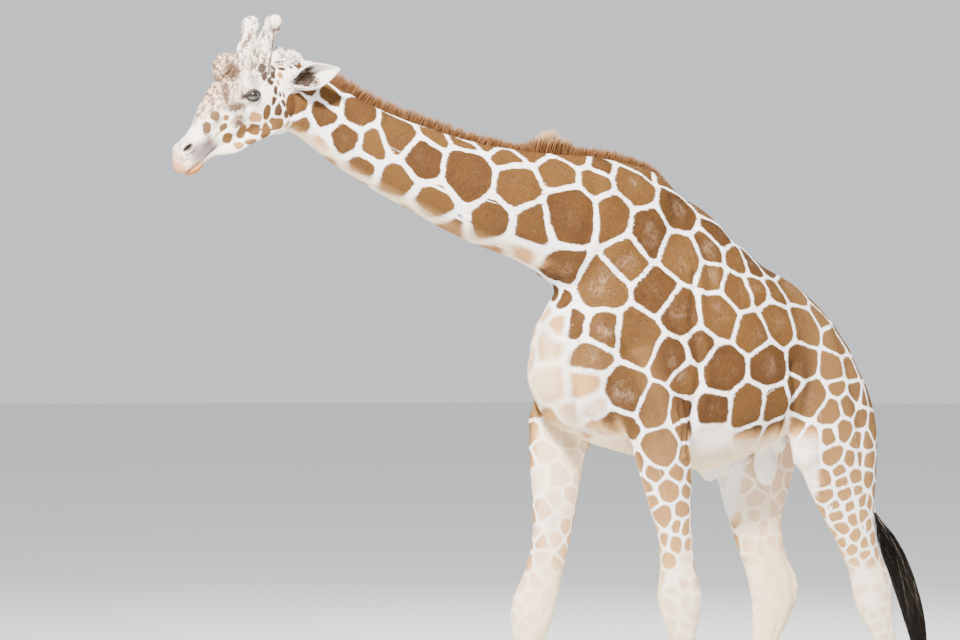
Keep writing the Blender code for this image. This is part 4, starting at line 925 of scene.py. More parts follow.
# Spots of the head: x, z, half width, half height, lean towards the nose in degrees, how dark from
# ochre at 0 to black at 1, and how strong
HEAD_SPOTS = [
    (-2.112, 3.373, 0.014, 0.016, -25, 0.85, 1.0), (-2.097, 3.341, 0.0095, 0.016, -15, 0.8, 1.0),
    (-2.077, 3.361, 0.005, 0.012, -5, 0.9, 0.9), (-2.055, 3.348, 0.009, 0.013, 10, 0.9, 1.0),
    (-2.068, 3.321, 0.011, 0.0135, 40, 0.85, 1.0), (-2.052, 3.376, 0.006, 0.012, 50, 1.0, 1.0),
    (-2.008, 3.378, 0.013, 0.0055, 0, 1.0, 1.0), (-2.02, 3.349, 0.0095, 0.0105, 20, 0.7, 0.7),
    (-2.03, 3.317, 0.0055, 0.012, 15, 0.6, 0.7), (-2.04, 3.285, 0.0085, 0.016, 10, 0.9, 1.0),
    (-2.021, 3.268, 0.005, 0.015, 28, 1.0, 1.0), (-2.0, 3.265, 0.004, 0.009, 10, 1.0, 0.8),
    (-2.044, 3.238, 0.0115, 0.016, 0, 0.8, 1.0), (-2.005, 3.232, 0.0075, 0.015, 22, 1.0, 1.0),
    (-1.968, 3.238, 0.0045, 0.009, 20, 1.0, 0.9), (-2.025, 3.203, 0.0135, 0.029, 5, 0.8, 1.0),
    (-1.97, 3.207, 0.008, 0.023, 32, 1.0, 1.0), (-1.982, 3.187, 0.0105, 0.015, 0, 0.6, 1.0),
    (-2.076, 3.402, 0.0065, 0.018, -10, 0.55, 0.8), (-2.095, 3.425, 0.004, 0.015, -15, 0.5, 0.5),
    (-2.03, 3.405, 0.015, 0.0038, 0, 1.0, 0.8), (-2.012, 3.396, 0.014, 0.0034, 0, 1.0, 0.7),
    (-1.962, 3.386, 0.0065, 0.004, 0, 1.0, 0.9), (-2.14, 3.392, 0.003, 0.012, -20, 0.7, 0.5),
    (-2.088, 3.305, 0.0025, 0.006, 0, 0.9, 0.5), (-2.076, 3.262, 0.0025, 0.012, 0, 0.8, 0.35),
    (-2.08, 3.19, 0.0165, 0.027, -5, 0.3, 1.0), (-2.133, 3.163, 0.025, 0.018, -10, 0.15, 0.65),
    (-2.127, 3.117, 0.0235, 0.0225, -5, 0.25, 0.95), (-2.186, 3.105, 0.018, 0.027, -18, 0.22, 0.9),
    (-2.075, 3.113, 0.019, 0.029, -18, 0.2, 1.0), (-2.03, 3.146, 0.031, 0.023, 15, 0.28, 1.0),
    (-1.97, 3.145, 0.01, 0.013, 0, 0.15, 0.4), (-2.252, 3.075, 0.02, 0.019, 0, 0.22, 0.9),
    (-2.198, 3.045, 0.019, 0.0125, 0, 0.1, 0.65), (-2.141, 3.063, 0.024, 0.01, 12, 0.2, 0.8),
    (-2.273, 3.12, 0.018, 0.011, 38, 0.3, 1.0), (-2.265, 3.16, 0.011, 0.011, 0, 0.05, 0.85),
    (-2.31, 3.168, 0.015, 0.0175, -10, 0.35, 1.0), (-2.344, 3.116, 0.014, 0.022, -5, 0.28, 0.95),
    (-2.302, 3.087, 0.006, 0.008, 0, 0.4, 0.4), (-2.218, 3.148, 0.018, 0.027, -15, 0.45, 0.28),
    (-2.24, 3.212, 0.033, 0.011, 5, 0.35, 0.25), (-1.93, 3.235, 0.017, 0.019, 0, 0.1, 0.45),
]
SPOT_GROWTH = 1.22
HEAD_GAP = 0.0062  # between the spots of the head
# Edges across an outline are split when longer than these shares of the pale line's width, in turn
REFINEMENTS = (1.9, 1.2, 1.05)
HEAD_REFINEMENTS = (0.008, 0.0058, 0.0048)
TEMPLE_EDGE = 0.004  # the longest edge among the small dark spots behind the eye
RIVALS = 9  # how many patches' middles may shape an outline
CORNER_SOFTNESS = 0.0055
# Grey-brown smudges and painted shade on the face: middle x and z, half width, half height, lean in
# degrees, depth
FACE_SHADES = [
    (-2.222, 3.205, 0.05, 0.022, 10, 0.85), (-2.205, 3.15, 0.026, 0.036, -20, 0.8),
    (-2.3, 3.14, 0.022, 0.03, -15, 0.6), (-2.345, 3.105, 0.02, 0.026, -10, 0.6),
    (-2.262, 3.26, 0.013, 0.05, -6, 0.75), (-2.19, 3.245, 0.03, 0.012, 20, 0.6),
    (-2.148, 3.33, 0.022, 0.04, -20, 0.5), (-2.225, 3.362, 0.03, 0.036, 10, 1.0),
    (-2.33, 3.05, 0.018, 0.024, 0, 0.45), (-2.125, 3.405, 0.02, 0.04, -20, 0.75),
]
PATCH_SPACING = (0.17, 0.15, 0.04, 0.085, 0.085, 0.085, 0.085, 0.06)  # for each part of the body


def seed(place, half, strength=1.0, spot=0.0):
    """A patch's middle: its place, half width, how strong it is and whether it keeps to a spot."""
    return (*place, half, strength, spot)


def on_side(surface, x, z, side, points):
    """The skin's point at this x and z as met from one side, or the nearest one."""
    found, _, _, _ = surface.ray_cast(Vector((x, side * 1.2, z)), Vector((0, -side, 0)))
    if found is not None:
        return found
    miss = (points[:, 0] - x) ** 2 + (points[:, 2] - z) ** 2 + 0.02 * (points[:, 1] * side < 0)
    return points[miss.argmin()]


def laid_seeds(surface, points, rng):
    """The seeds of the laid out patches. Those of the right legs are left to fill_seeds."""
    seeds = []
    body = NECK_PATCHES + SHOULDER_PATCHES + FLANK_PATCHES
    for side, patches in ((LEFT, body + THIGH_PATCHES + FOREARM_PATCHES), (RIGHT, body)):
        for x, z, half in patches:
            across, up = rng.normal(0, 0.0 if side == LEFT else 0.02, 2)
            if side == LEFT or z >= 1.75:
                seeds.append(seed(on_side(surface, x + across, z + up, side, points), half))
        for x, z, half, strength in PALE_PATCHES:
            if side == LEFT or z > 1.8:
                seeds.append(seed(on_side(surface, x, z, side, points), half, strength))
    return seeds + [seed(place, half, strength) for *place, half, strength in BREAST_PATCHES]


def fill_seeds(seeds, points, part, charts, rng):
    """Adds patches wherever a patch still fits, on the sides that no layout covers."""
    spacing = np.array(PATCH_SPACING)[part]
    by_height = np.interp(points[:, 2], (0.9, 1.3, 1.6, 1.9), (0.055, 0.065, 0.085, 0.12))
    spacing = np.where(np.isin(part, ON_LEGS), by_height, spacing)
    by_length = np.interp(pick(charts, part, "along"), (0.1, 0.6, 1.4), (0.1, 0.135, 0.17))
    spacing = np.where(part == ON_NECK, by_length, spacing)
    along, above, out = head_places(points).T
    bare = (along > 0.36) | (above > 0.11) | (along < 0.0) | (out < 0.03)
    bare = (part == ON_HEAD) & bare | (part == ON_TAIL) | (points[:, 2] < 0.3)
    taken = np.array(seeds)[:, :4]
    for index in rng.permutation(np.flatnonzero(~bare))[:16000]:
        half = spacing[index] / 2
        room = lengths(taken[:, :3] - points[index]) - 0.96 * (taken[:, 3] + half)
        if room.min() >= 0:
            half *= rng.uniform(0.8, 1.1)
            seeds.append(seed(points[index], half, 1.0, 1.0 * (part[index] == ON_HEAD)))
            taken = np.vstack([taken, (*points[index], half)])
    return np.array(seeds)


def bent(points, gap):
    """The points moved a little to and fro, so that outlines measured at them wander."""
    size = np.interp(gap, (0.008, 0.012, 0.025), (0.3, 0.5, 1.0))[:, None]
    bend = rough_ways(points, 0.12, (0.0, 7.3, 13.9))
    ripple = rough_ways(points, 0.04, (3.1, 5.7, 11.9))
    return points + (0.013 * bend + 0.005 * ripple) * size


def gap_widths(points, charts, part, edges):
    """The width of the pale lines between patches at each point."""
    x, _, height = points.T
    under = np.cos(pick(charts, part, "angle"))
    neck = np.interp(x, (-1.85, -1.35), (0.015, 0.025)) + 0.014 * ramp(-under, 0.1, 0.9)
    trunk = np.interp(x, (-0.5, 0.1, 0.8), (0.024, 0.02, 0.017))
    leg = np.interp(height, (1.2, 1.8), (0.012, 0.015))
    cases = [part == ON_NECK, part == ON_TRUNK, np.isin(part, ON_LEGS), part == ON_HEAD]
    return spread_over(edges, np.select(cases, [neck, trunk, leg, HEAD_GAP], 0.021), 30)


def split(thing, chosen, longest):
    """Halves those of the chosen edges that are longer than this, and makes triangles round them."""
    points, (first, second) = points_of(thing), edges_of(thing).T
    chosen = chosen & (lengths(points[first] - points[second]) > longest)
    shape = bmesh.new()
    shape.from_mesh(thing.data)
    shape.edges.ensure_lookup_table()
    edges = [shape.edges[index] for index in np.flatnonzero(chosen).tolist()]
    bmesh.ops.subdivide_edges(shape, edges=edges, cuts=1)
    bmesh.ops.triangulate(shape, faces=[face for face in shape.faces if len(face.verts) > 3])
    shape.to_mesh(thing.data)
    shape.free()


def refined(thing, seeds):
    """Splits the skin's longer edges where they cross a patch's outline, so that it shows crisply."""
    for share in REFINEMENTS:
        points, gap, (first, second) = points_of(thing), values_of(thing, "gap"), edges_of(thing).T
        edge, owner = patch_edges(bent(points, gap), seeds, gap)
        crossing = edge[first] * edge[second] < 0
        crossing |= (owner[first] != owner[second]) & (np.maximum(edge[first], edge[second]) > 0)
        split(thing, crossing & (points[first, 0] > NECK_START), share * gap[first])
    for longest in HEAD_REFINEMENTS:
        points, (first, second) = points_of(thing), edges_of(thing).T
        edge, _ = head_edges(points, values_of(thing, "gap"))
        split(thing, (edge[first] * edge[second] < 0) & (points[first, 0] < HEAD_BACK), longest)
    for _ in range(2):
        points, (first, second) = points_of(thing), edges_of(thing).T
        edge, spot = head_edges(points, values_of(thing, "gap"))
        small = (np.array(HEAD_SPOTS)[spot, 5] > 0.5) & (edge > -0.007) & (points[:, 0] < -1.94)
        split(thing, small[first] & small[second], TEMPLE_EDGE)
    thing.data.shade_smooth()


def head_edges(points, gap):
    """How far inside a spot of the head each point is, and which spot it is nearest."""
    best, second = np.full(len(points), -1.0), np.full(len(points), -1.0)
    owner = np.zeros(len(points), int)
    right = points[:, 1] > 0  # where each spot is moved a little
    for index, (x, z, wide, tall, lean, dark, _) in enumerate(HEAD_SPOTS):
        dx = points[:, 0] - x - 0.004 * right * math.sin(index * 2.1)
        dz = points[:, 2] - z - 0.004 * right * math.cos(index * 3.3)
        across, up = turned(dx, dz, math.radians(lean))
        growth = SPOT_GROWTH + 0.16 * (dark > 0.5)
        wide, tall = wide * growth, tall * growth
        measure = (np.abs(across / wide) ** 2.6 + np.abs(up / tall) ** 2.6) ** (1 / 2.6)
        inside = (1 - measure) * np.sqrt(wide * tall) * 0.85
        closer = inside > best
        second = np.where(closer, best, np.maximum(second, inside))
        best = np.where(closer, inside, best)
        owner[closer] = index
    return np.minimum(best, (best - second) / 2 - gap / 2), owner


def patch_edges(points, seeds, gap):
    """How far inside its patch's outline each point is, and which patch it is nearest."""
    edge, owner = np.empty(len(points)), np.empty(len(points), int)
    for block in np.array_split(np.arange(len(points)), max(1, len(points) // 6000)):
        square = ((points[block][:, None] - seeds[None, :, :3]) ** 2).sum(2)
        power = square - seeds[:, 3] ** 2
        near = np.argpartition(power, RIVALS, axis=1)[:, :RIVALS]
        value = np.take_along_axis(power, near, 1)
        order = value.argsort(1)
        near, value = np.take_along_axis(near, order, 1), np.take_along_axis(value, order, 1)
        own = near[:, 0]
        apart = np.linalg.norm(seeds[near[:, 1:], :3] - seeds[own, None, :3], axis=2)
        reach = (value[:, 1:] - value[:, :1]) / np.maximum(2 * apart, 1e-6)
        soft = -CORNER_SOFTNESS * np.log(np.exp(-reach / CORNER_SOFTNESS).sum(1))
        half, keeps = seeds[own, 3], seeds[own, 5] > 0
        limit = np.where(keeps, 1.35 * half, 1.9 * half + 0.02)
        limit = limit - np.sqrt(np.take_along_axis(square, near[:, :1], 1)[:, 0])
        edge[block] = np.minimum(soft - gap[block] / 2, limit)
        owner[block] = own
    return edge, owner


def markings(thing, seeds, rng, charts, part):
    """Gives the skin its markings and the way its coat lies."""
    points, normals, edges = points_of(thing), normals_of(thing), edges_of(thing)
    place, (x, _, height) = head_places(points), points.T
    on_trunk, on_neck, on_skull = part == ON_TRUNK, part == ON_NECK, part == ON_HEAD
    on_leg = np.isin(part, ON_LEGS)
    under = np.cos(pick(charts, part, "angle"))
    inner = on_leg * ramp(-under, -0.2, 0.5)
    leg_share = spread_over(edges, on_leg * 1.0, 40)
    gap = values_of(thing, "gap")
    edge, owner = patch_edges(bent(points, gap), seeds, gap)
    half, given = seeds[owner, 3], seeds[owner, 4]
    from_middle = lengths(points - seeds[owner, :3])
    spot_edge, spot = head_edges(points + 0.003 * rough_ways(points, 0.02, (1, 5, 9)), gap)
    spot_dark, spot_strength = np.array(HEAD_SPOTS)[spot, 5:].T
    spotted = on_skull | ((x < NECK_START) & (place[:, 0] > -0.05))
    edge = np.where(on_skull, np.minimum(edge, 1.1 * half - from_middle), edge)
    spotted &= spot_edge > edge
    edge = np.where(spotted, spot_edge, edge)
    belly = on_trunk * ramp(-normals[:, 2], 0.35, 0.85) * (1 - ramp(height, 1.75, 1.95))
    breast = on_trunk * ramp(-x, 0.5, 0.62) * (1 - ramp(height, 2.12, 2.3))
    throat = on_neck * ramp(-under, 0.84, 1.0)
    shank = on_leg * (1 - ramp(height, 1.0, 1.22))
    groin = (x > 0.12) & (x < 0.72) & (height > 1.45) & (height < 1.78)
    groin &= np.abs(points[:, 1]) < np.where(on_trunk, 0.15, 0.09)
    low = on_trunk * (1 - ramp(height, 1.7, 1.82)) * ramp(x, -0.35, -0.15)
    inner *= np.where(part == FAR_FORELEG, np.interp(height, (1.38, 1.58), (0.35, 0.85)), 0.72)
    fade = np.clip(0.38 * throat + np.maximum(belly, low) + inner, 0, 1)
    tan = leg_share * np.interp(height, (1.2, 1.9), (0.4, 0.18))
    tan += (1 - leg_share) * 0.2 * ramp(x, 0.45, 0.75)
    strength = given * (1 - 0.85 * fade) * (1 - 0.62 * shank) * (1 - tan)
    strength *= 1 - 0.35 * breast * (given >= 1)
    strength[groin] = 0.0
    strength = np.where(spotted, spot_strength, strength)
    blur = spread_over(edges, np.clip(1.2 * (1 - given) + throat + belly + 0.5 * shank, 0, 1), 12)
    give(thing, "edge", edge)
    give(thing, "strength", spread_over(edges, strength, 2))
    give(thing, "soft", 0.0016 + 0.016 * blur)
    give(thing, "tone", rng.uniform(-1, 1, len(seeds))[owner])
    give(thing, "ragged", np.where(on_skull, 0.45, np.where(on_leg, 0.7, 1.0)))
    away = from_middle / half
    scuffed = 0.35 + 0.65 * rng.uniform(0, 1, len(seeds))[owner]
    scuffed = scuffed * ramp(x, -1.35, -0.95) * (1 - ramp(x, 0.05, 0.6)) * ramp(height, 1.9, 2.1)
    middle = np.where(on_neck, 0.12, np.interp(x, (-0.9, -0.5, 0.0, 0.4), (0.4, 1.0, 0.9, 0.45)))
    give(thing, "heart", (1 - ramp(away, 0.15, 0.95)) * (1 - leg_share) * (on_trunk | on_neck) * middle)
    give(thing, "scuff", 0.95 * (1 - ramp(away, 0.3, 1.05)) * scuffed)
    give(thing, "dark", spotted * spot_dark)
    give(thing, "ochre", spotted * (1.0 - spot_dark) ** 2 * 0.8)
    cream = 0.75 * throat + belly + 0.8 * inner + 0.5 * on_leg * (1 - ramp(height, 1.0, 1.5))
    cream = np.clip(np.clip(cream, 0, 1) + 0.3 * on_skull + 0.3 * breast, 0, 1)
    give(thing, "cream", spread_over(edges, cream, 10))
    head_marks(thing, points, place, on_skull, edges)
    give(thing, "lie", lie_of_coat(points, normals, charts, part, edges))
    give(thing, "root", points)
    arc = pick(charts, part, "angle") * pick(charts, part, "radius")
    give(thing, "weave", np.stack([pick(charts, part, "along"), arc, 3.0 * part], axis=1))
    give(thing, "length", coat_length(points, place, part))
    return coat_thickness(points, place, part)


def head_marks(thing, points, place, on_skull, edges):
    """Bare rough skin, painted shade in the creases and dark openings, grey-brown smudges and painted
    shade on the face, the muzzle's grey and the tan of the lips.
    """
    along, above, out = place.T
    front = on_skull & (points[:, 0] < HEAD_BACK)
    crust = ramp(above, 0.15, 0.205) * between(along, 0.02, 0.08, 0.3, 0.4)
    bridge = 0.9 * ramp(above, 0.085, 0.13) * between(along, 0.18, 0.26, 0.46, 0.54)
    muzzle = 0.62 * ramp(along, 0.48, 0.57) * ramp(above, -0.03, 0.02)
    # The grey of the muzzle's sides, made darker as painted shade.
    slate = between(along, 0.42, 0.48, 0.565, 0.6) * between(above, -0.03, -0.01, 0.03, 0.062)
    round_eye, dark_lid = np.zeros(len(points)), np.zeros(len(points))
    for side in SIDES:
        eye = eye_places(points, side)
        here = out * side > 0.02
        round_eye = np.maximum(round_eye, here * (1 - ramp(from_slit(eye), 0.004, 0.02)))
        front_corner = np.hypot((eye[:, 0] - 0.042) / 1.6, eye[:, 1] - 0.003)
        dark_lid = np.maximum(dark_lid, here * (1 - ramp(front_corner, 0.007, 0.016)))
        below = from_slit(eye) + 0.5 * eye[:, 1]
        dark_lid = np.maximum(dark_lid, 0.8 * here * (1 - ramp(below, 0.004, 0.011)))
    bare = np.clip(0.8 * crust + bridge + muzzle + 0.6 * round_eye, 0, 1) * front
    slit = from_nostril(along, above)
    beside = ramp(np.abs(out), 0.012, 0.026)
    hollow = (1 - ramp(slit, -0.0045, 0.0015)) * beside
    seam = (1 - ramp(line_distance(place[:, :2], MOUTH), 0.0012, 0.004)) * ramp(along, 0.44, 0.462)
    lips = ramp(along, 0.5, 0.58) * (1 - ramp(above, -0.028, -0.004)) * 0.85
    lips = np.maximum(lips, 0.8 * ramp(along, 0.595, 0.645) * (1 - ramp(above, 0.015, 0.06)))
    chin = ramp(along, 0.4, 0.52) * (1 - ramp(above, -0.055, -0.035)) * 0.55
    # Painted shade: the face is darkened in colour along its relief creases.
    crease = np.zeros(len(points))
    for line, width, depth in CREASES:
        near = line_distance(points[:, [0, 2]], line)
        crease = np.maximum(crease, depth * bell(near, width * 1.1) * beside)
    # The raw patch beside the middle horn is the skin's own colour, and dark specks over the crust and
    # bridge join it in the same mark.
    x, z, half = CRUST_PATCH
    patch = 1 - ramp(np.hypot(points[:, 0] - x, points[:, 2] - z), 0.4 * half, 1.25 * half)
    speckle = np.zeros(len(points))
    face = np.flatnonzero(front)
    speckle[face] = 0.8 * rough(points[face], 0.014) + 0.6 * rough(points[face], 0.0065)
    crease = np.maximum(crease, patch * (0.62 + 0.5 * speckle))
    crease = np.maximum(crease, (crust + 0.75 * bridge) * ramp(-speckle, 0.0, 0.45))
    # Painted shade on the face, mixed with grey-brown smudges of the skin.
    dusk = np.zeros(len(points))
    for x, z, wide, tall, lean, depth in FACE_SHADES:
        across, up = turned(points[:, 0] - x, points[:, 2] - z, math.radians(lean))
        dusk = np.maximum(dusk, depth * np.exp(-(((across / wide) ** 2 + (up / tall) ** 2) ** 1.5)))
    dusk = dusk * (0.75 + 0.6 * speckle) * beside
    give(thing, "dusk", (1 - (1 - np.clip(dusk, 0, 1)) ** 2) * front)
    give(thing, "crease", np.clip(crease, 0, 1) * front)
    give(thing, "bare", spread_over(edges, bare, 2))
    # Painted shade in the nostrils and along the mouth line, with the lids' own dark skin.
    give(thing, "shade", np.clip(hollow * 0.95 + seam * 0.8 + dark_lid, 0, 1) * front)
    give(thing, "slate", (1 - (1 - spread_over(edges, slate, 3)) ** 1.6) * front)
    give(thing, "lip", np.clip(lips + chin, 0, 1) * front)


def coat_length(points, place, part):
    """How long the coat's tufts are."""
    cases = [part == ON_NECK, part == ON_HEAD, part == ON_TAIL, np.isin(part, ON_LEGS)]
    length = np.select(cases, [0.0095, 0.0062, 0.012, 0.0085], 0.0105)
    length += 0.006 * (part == ON_TRUNK) * (1 - ramp(points[:, 2], 1.62, 1.78))
    return length - 0.003 * (part == ON_HEAD) * ramp(place[:, 0], 0.3, 0.56)


def coat_thickness(points, place, part):
    """How many tufts grow on each square metre: fine and close on the face, none in its openings."""
    cases = [part == ON_NECK, part == ON_HEAD, part == ON_TAIL, np.isin(part, ON_LEGS)]
    on_leg = np.interp(points[:, 2], (0.9, 1.6), (33_000, 25_500))
    number = np.select(cases, [32_500, 106_000, 24_000, on_leg], 23_400.0)
    for side in SIDES:
        eye = eye_places(points, side)
        near = (lengths(eye) < 0.12) & (place[:, 2] * side > 0.02)
        number = np.where(near & (from_slit(eye) < 0.016), 0, number)
    face = (part == ON_HEAD) & (points[:, 0] < HEAD_BACK)
    slit = from_nostril(place[:, 0], place[:, 1])
    seam = line_distance(place[:, :2], MOUTH)
    number = np.where(face & (slit < 0.005) & (np.abs(place[:, 2]) > 0.012), 0, number)
    number = np.where(face & (seam < 0.0055) & (place[:, 0] > 0.44), 0, number)
    lips = face & (place[:, 0] > 0.57) & (place[:, 1] < 0.0)
    return np.where(lips, number * 0.25, number) * np.where(points[:, 2] < HOOF_TOP + 0.006, 0, 1)


# --- the unwrap -------------------------------------------------------------------------------
# Where each part of the skin lies on the unwrap: left, right, bottom and top
UNWRAP = {
    "trunk": (0.0, 0.42, 0.45, 1.0), "neck": (0.43, 0.99, 0.62, 1.0), "tail": (0.43, 0.99, 0.45, 0.52),
    "foreleg_left": (0.0, 0.52, 0.0, 0.1), "foreleg_right": (0.0, 0.52, 0.11, 0.21),
    "hindleg_left": (0.0, 0.52, 0.22, 0.32), "hindleg_right": (0.0, 0.52, 0.33, 0.43),
    "head": (0.54, 1.0, 0.0, 0.43),
}


def unwrap(thing, charts, part):
    """Lays each part of the skin out flat along its middle line, opened on the underside."""
    corners = fetched(thing.data.loops, "vertex_index", 1, np.int32).reshape(-1, 3)
    owner = np.median(part[corners], axis=1).astype(int)
    places = np.empty((*corners.shape, 2))
    for index, (name, chart) in enumerate(charts.items()):
        own = owner == index
        if not own.any():
            continue
        left, right, low, high = UNWRAP[name]
        reach = chart.unrolled[corners[own]]
        nearest, furthest = reach.min(), reach.max()
        angle = chart.angle[corners[own]]
        middle = np.angle(np.exp(1j * angle).mean(1))[:, None]
        around = np.clip(middle + np.angle(np.exp(1j * (angle - middle))), -math.pi, math.pi)
        share = (reach - nearest) / (furthest - nearest)
        places[own, :, 0] = left + 0.004 + (right - left - 0.008) * share
        places[own, :, 1] = low + 0.004 + (high - low - 0.008) * (around / math.tau + 0.5)
    lay_out(thing, places)
    spare = thing.data.attributes.new("root_uv", "FLOAT2", "CORNER")
    spare.data.foreach_set("vector", places.astype(np.float32).ravel())


def lay_out(thing, places):
    """Gives the piece its unwrap: a place for every corner of its faces."""
    layer = thing.data.uv_layers.new(name="OFBake")
    layer.data.foreach_set("uv", places.astype(np.float32).ravel())


# --- finishes: a small way of writing them ----------------------------------------------------
class Value:
    """A number, colour or vector of a finish, which sums and products can be written with."""

    def __init__(self, tree, socket):
        self.tree = tree
        self.socket = socket

    def sum(self, operation, *others):
        node = self.tree.nodes.new("ShaderNodeMath")
        node.operation = operation
        for socket, value in zip(node.inputs, (self, *others)):
            fill(self.tree, socket, value)
        return Value(self.tree, node.outputs[0])

    def __add__(self, other):
        return self.sum("ADD", other)

    def __sub__(self, other):
        return self.sum("SUBTRACT", other)

    def __mul__(self, other):
        return self.sum("MULTIPLY", other)

    def __truediv__(self, other):
        return self.sum("DIVIDE", other)

    def __rsub__(self, other):
        return self * -1 + other

    def __rtruediv__(self, other):
        return self.sum("POWER", -1.0) * other

    __radd__, __rmul__ = __add__, __mul__

    def step(self, low, high):
        """0 at low, 1 at high and smooth between."""
        inputs = {"Value": self, "From Min": low, "From Max": high}
        smooth = {"interpolation_type": "SMOOTHSTEP"}
        return made(self.tree, "ShaderNodeMapRange", smooth, inputs, "Result")


def fill(tree, socket, value):
    """Links a value to a socket, or sets the socket's own number or colour."""
    if isinstance(value, Value):
        tree.links.new(value.socket, socket)
    elif isinstance(value, tuple) and len(value) == 3 and socket.type == "RGBA":
        socket.default_value = (*value, 1)
    else:
        socket.default_value = value


def made(tree, kind, settings, inputs, output=0):
    """A new node's output: its settings come first, then its inputs by name or number."""
    node = tree.nodes.new(kind)
    for name, value in settings.items():
        setattr(node, name, value)
    for name, value in inputs.items():
        fill(tree, node.inputs[name], value)
    return Value(tree, node.outputs[output])


def mixed(factor, first, second, how="MIX"):
    """The first colour turning into the second as factor goes from 0 to 1."""
    settings = {"data_type": "RGBA", "blend_type": how, "clamp_factor": True}
    return made(factor.tree, "ShaderNodeMix", settings, {0: factor, 6: first, 7: second}, 2)


def read(tree, name, output="Fac"):
    """A value that the piece's own points carry."""
    return made(tree, "ShaderNodeAttribute", {"attribute_name": name}, {}, output)


def grain(tree, place, size, detail=3.0, roughness=0.55):
    """Noise of about -1 to 1 with lumps of this size in metres."""
    inputs = {"Vector": place, "Scale": 1 / size, "Detail": detail, "Roughness": roughness}
    return (made(tree, "ShaderNodeTexNoise", {"normalize": True}, inputs, "Fac") - 0.5) * 2


def scaled(place, factors):
    times = {"operation": "MULTIPLY"}
    return made(place.tree, "ShaderNodeVectorMath", times, {0: place, 1: factors}, "Vector")


def layered(colour, *layers):
    """The colour with others laid over it in turn, each as far as its factor says."""
    for factor, over in layers:
        colour = mixed(factor, colour, over)
    return colour


class Finish:
    """A new finish, with its node tree and its principled shader."""

    def __init__(self, name):
        self.material = bpy.data.materials.new(name)
        self.material.use_nodes = True
        self.tree = self.material.node_tree
        self.shader = self.tree.nodes["Principled BSDF"]

    def done(self, colour, roughness, **more):
        """Sets the colour, the roughness and other inputs, and gives the material."""
        inputs = {"base color": colour, "roughness": roughness, **more}
        for socket in self.shader.inputs:
            value = inputs.get(socket.name.lower(), inputs.get(socket.name.lower().replace(" ", "_")))
            if value is not None:
                fill(self.tree, socket, value)
        return self.material

    def bumped(self, height, distance, strength):
        inputs = {"Height": height, "Distance": distance, "Strength": strength}
        bump = made(self.tree, "ShaderNodeBump", {}, inputs, "Normal")
        fill(self.tree, self.shader.inputs["Normal"], bump)


# --- the hide's finish ------------------------------------------------------------------------
def hide_colour(tree, place):
    """The colour of skin or hair from the markings and painted shade that each point carries."""
    edge, strength = read(tree, "edge"), read(tree, "strength")
    soft, tone = read(tree, "soft"), read(tree, "tone")
    ragged = grain(tree, place, 0.032, 2.0) * 0.005 + grain(tree, place, 0.008, 1.0) * 0.0022
    within = edge + ragged * read(tree, "ragged")
    patch = ((within + soft) / (soft * 2)).sum("SMOOTH_MIN", 1.0, 0.1).sum("SMOOTH_MAX", 0.0, 0.1)
    mottle = grain(tree, place, 0.11, 2.0, 0.6)
    fine = grain(tree, scaled(place, (1.0, 1.0, 0.45)), 0.01, 3.0, 0.7)
    depth = (tone * 0.5 + mottle * 0.55 + 0.42).step(0.0, 1.0)
    brown = mixed(depth, (0.104, 0.047, 0.0112), (0.058, 0.023, 0.0056))
    scuff, flecks = read(tree, "scuff"), grain(tree, scaled(place, (1.0, 1.0, 0.35)), 0.021, 4.0, 0.75)
    brown = layered(
        brown,
        (read(tree, "heart") * (mottle + fine * 0.8 + 0.2).step(0.0, 1.2) * 0.85, (0.46, 0.31, 0.2)),
        ((fine * 0.5 + 0.25).step(0.0, 1.0) * 0.26, (0.23, 0.11, 0.034)),
        ((flecks * 1.6 + scuff - 1.12).step(0.0, 0.55) * scuff, (0.8, 0.7, 0.62)),
        (read(tree, "dark"), (0.04, 0.018, 0.01)),
        (read(tree, "ochre"), (0.15, 0.074, 0.02)),
        ((1 - strength).step(0.05, 0.62), (0.56, 0.31, 0.125)),
    )
    pale = mixed(read(tree, "cream"), (0.9, 0.89, 0.89), (0.87, 0.71, 0.47))
    pale = mixed((mottle * 0.5 + fine * 0.6 + 0.2).step(0.0, 1.2) * 0.22, pale, (0.74, 0.62, 0.48))
    colour = mixed(patch * (strength * 2.0).sum("MINIMUM", 1.0), pale, brown)
    rust = (fine * 0.8 + grain(tree, place, 0.018, 3.0) * 1.5 + 0.42).step(0.0, 1.0)
    bare = mixed(rust, (0.74, 0.54, 0.4), (0.05, 0.021, 0.01))
    return layered(
        colour,
        (read(tree, "bare") * (1 - patch * strength * 0.9), bare),
        # The muzzle's own grey, darkened as painted shade.
        (read(tree, "slate"), (0.165, 0.13, 0.138)),
        # Painted shade and grey-brown smudges on the face.
        (read(tree, "dusk") * (1.2 + fine * 0.9), (0.078, 0.047, 0.031)),
        (read(tree, "lip"), (0.44, 0.155, 0.03)),
        # Painted shade in the creases, together with the raw crust patch's own colour.
        (read(tree, "crease"), (0.1, 0.055, 0.034)),
        # Painted shade in the nostrils and mouth line, and the dark lid skin.
        (read(tree, "shade"), (0.03, 0.02, 0.018)),
    )


def hide_finish(name, is_coat):
    """The same markings for the skin, whose fine hair is a bump, and for the tufts over it."""
    finish = Finish(name)
    tree = finish.tree
    place = read(tree, "root", "Vector")
    colour = hide_colour(tree, place)
    if is_coat:
        hair = read(tree, "hair")
        colour = mixed(hair.step(0.45, 1.0) * 0.3, colour, (0.9, 0.82, 0.7), "SOFT_LIGHT")
        colour = mixed((1 - hair).step(0.55, 1.0) * 0.35, colour, (0.3, 0.2, 0.14), "MULTIPLY")
    else:
        strands = scaled(read(tree, "weave", "Vector"), (0.22, 1.0, 1.0))
        height = grain(tree, strands, 0.0042, 2.0, 0.7) + grain(tree, place, 0.014, 3.0, 0.6) * 0.5
        finish.bumped(height, 0.0016, 0.55)
    return finish.done(colour, 0.7, specular_ior_level=0.18)


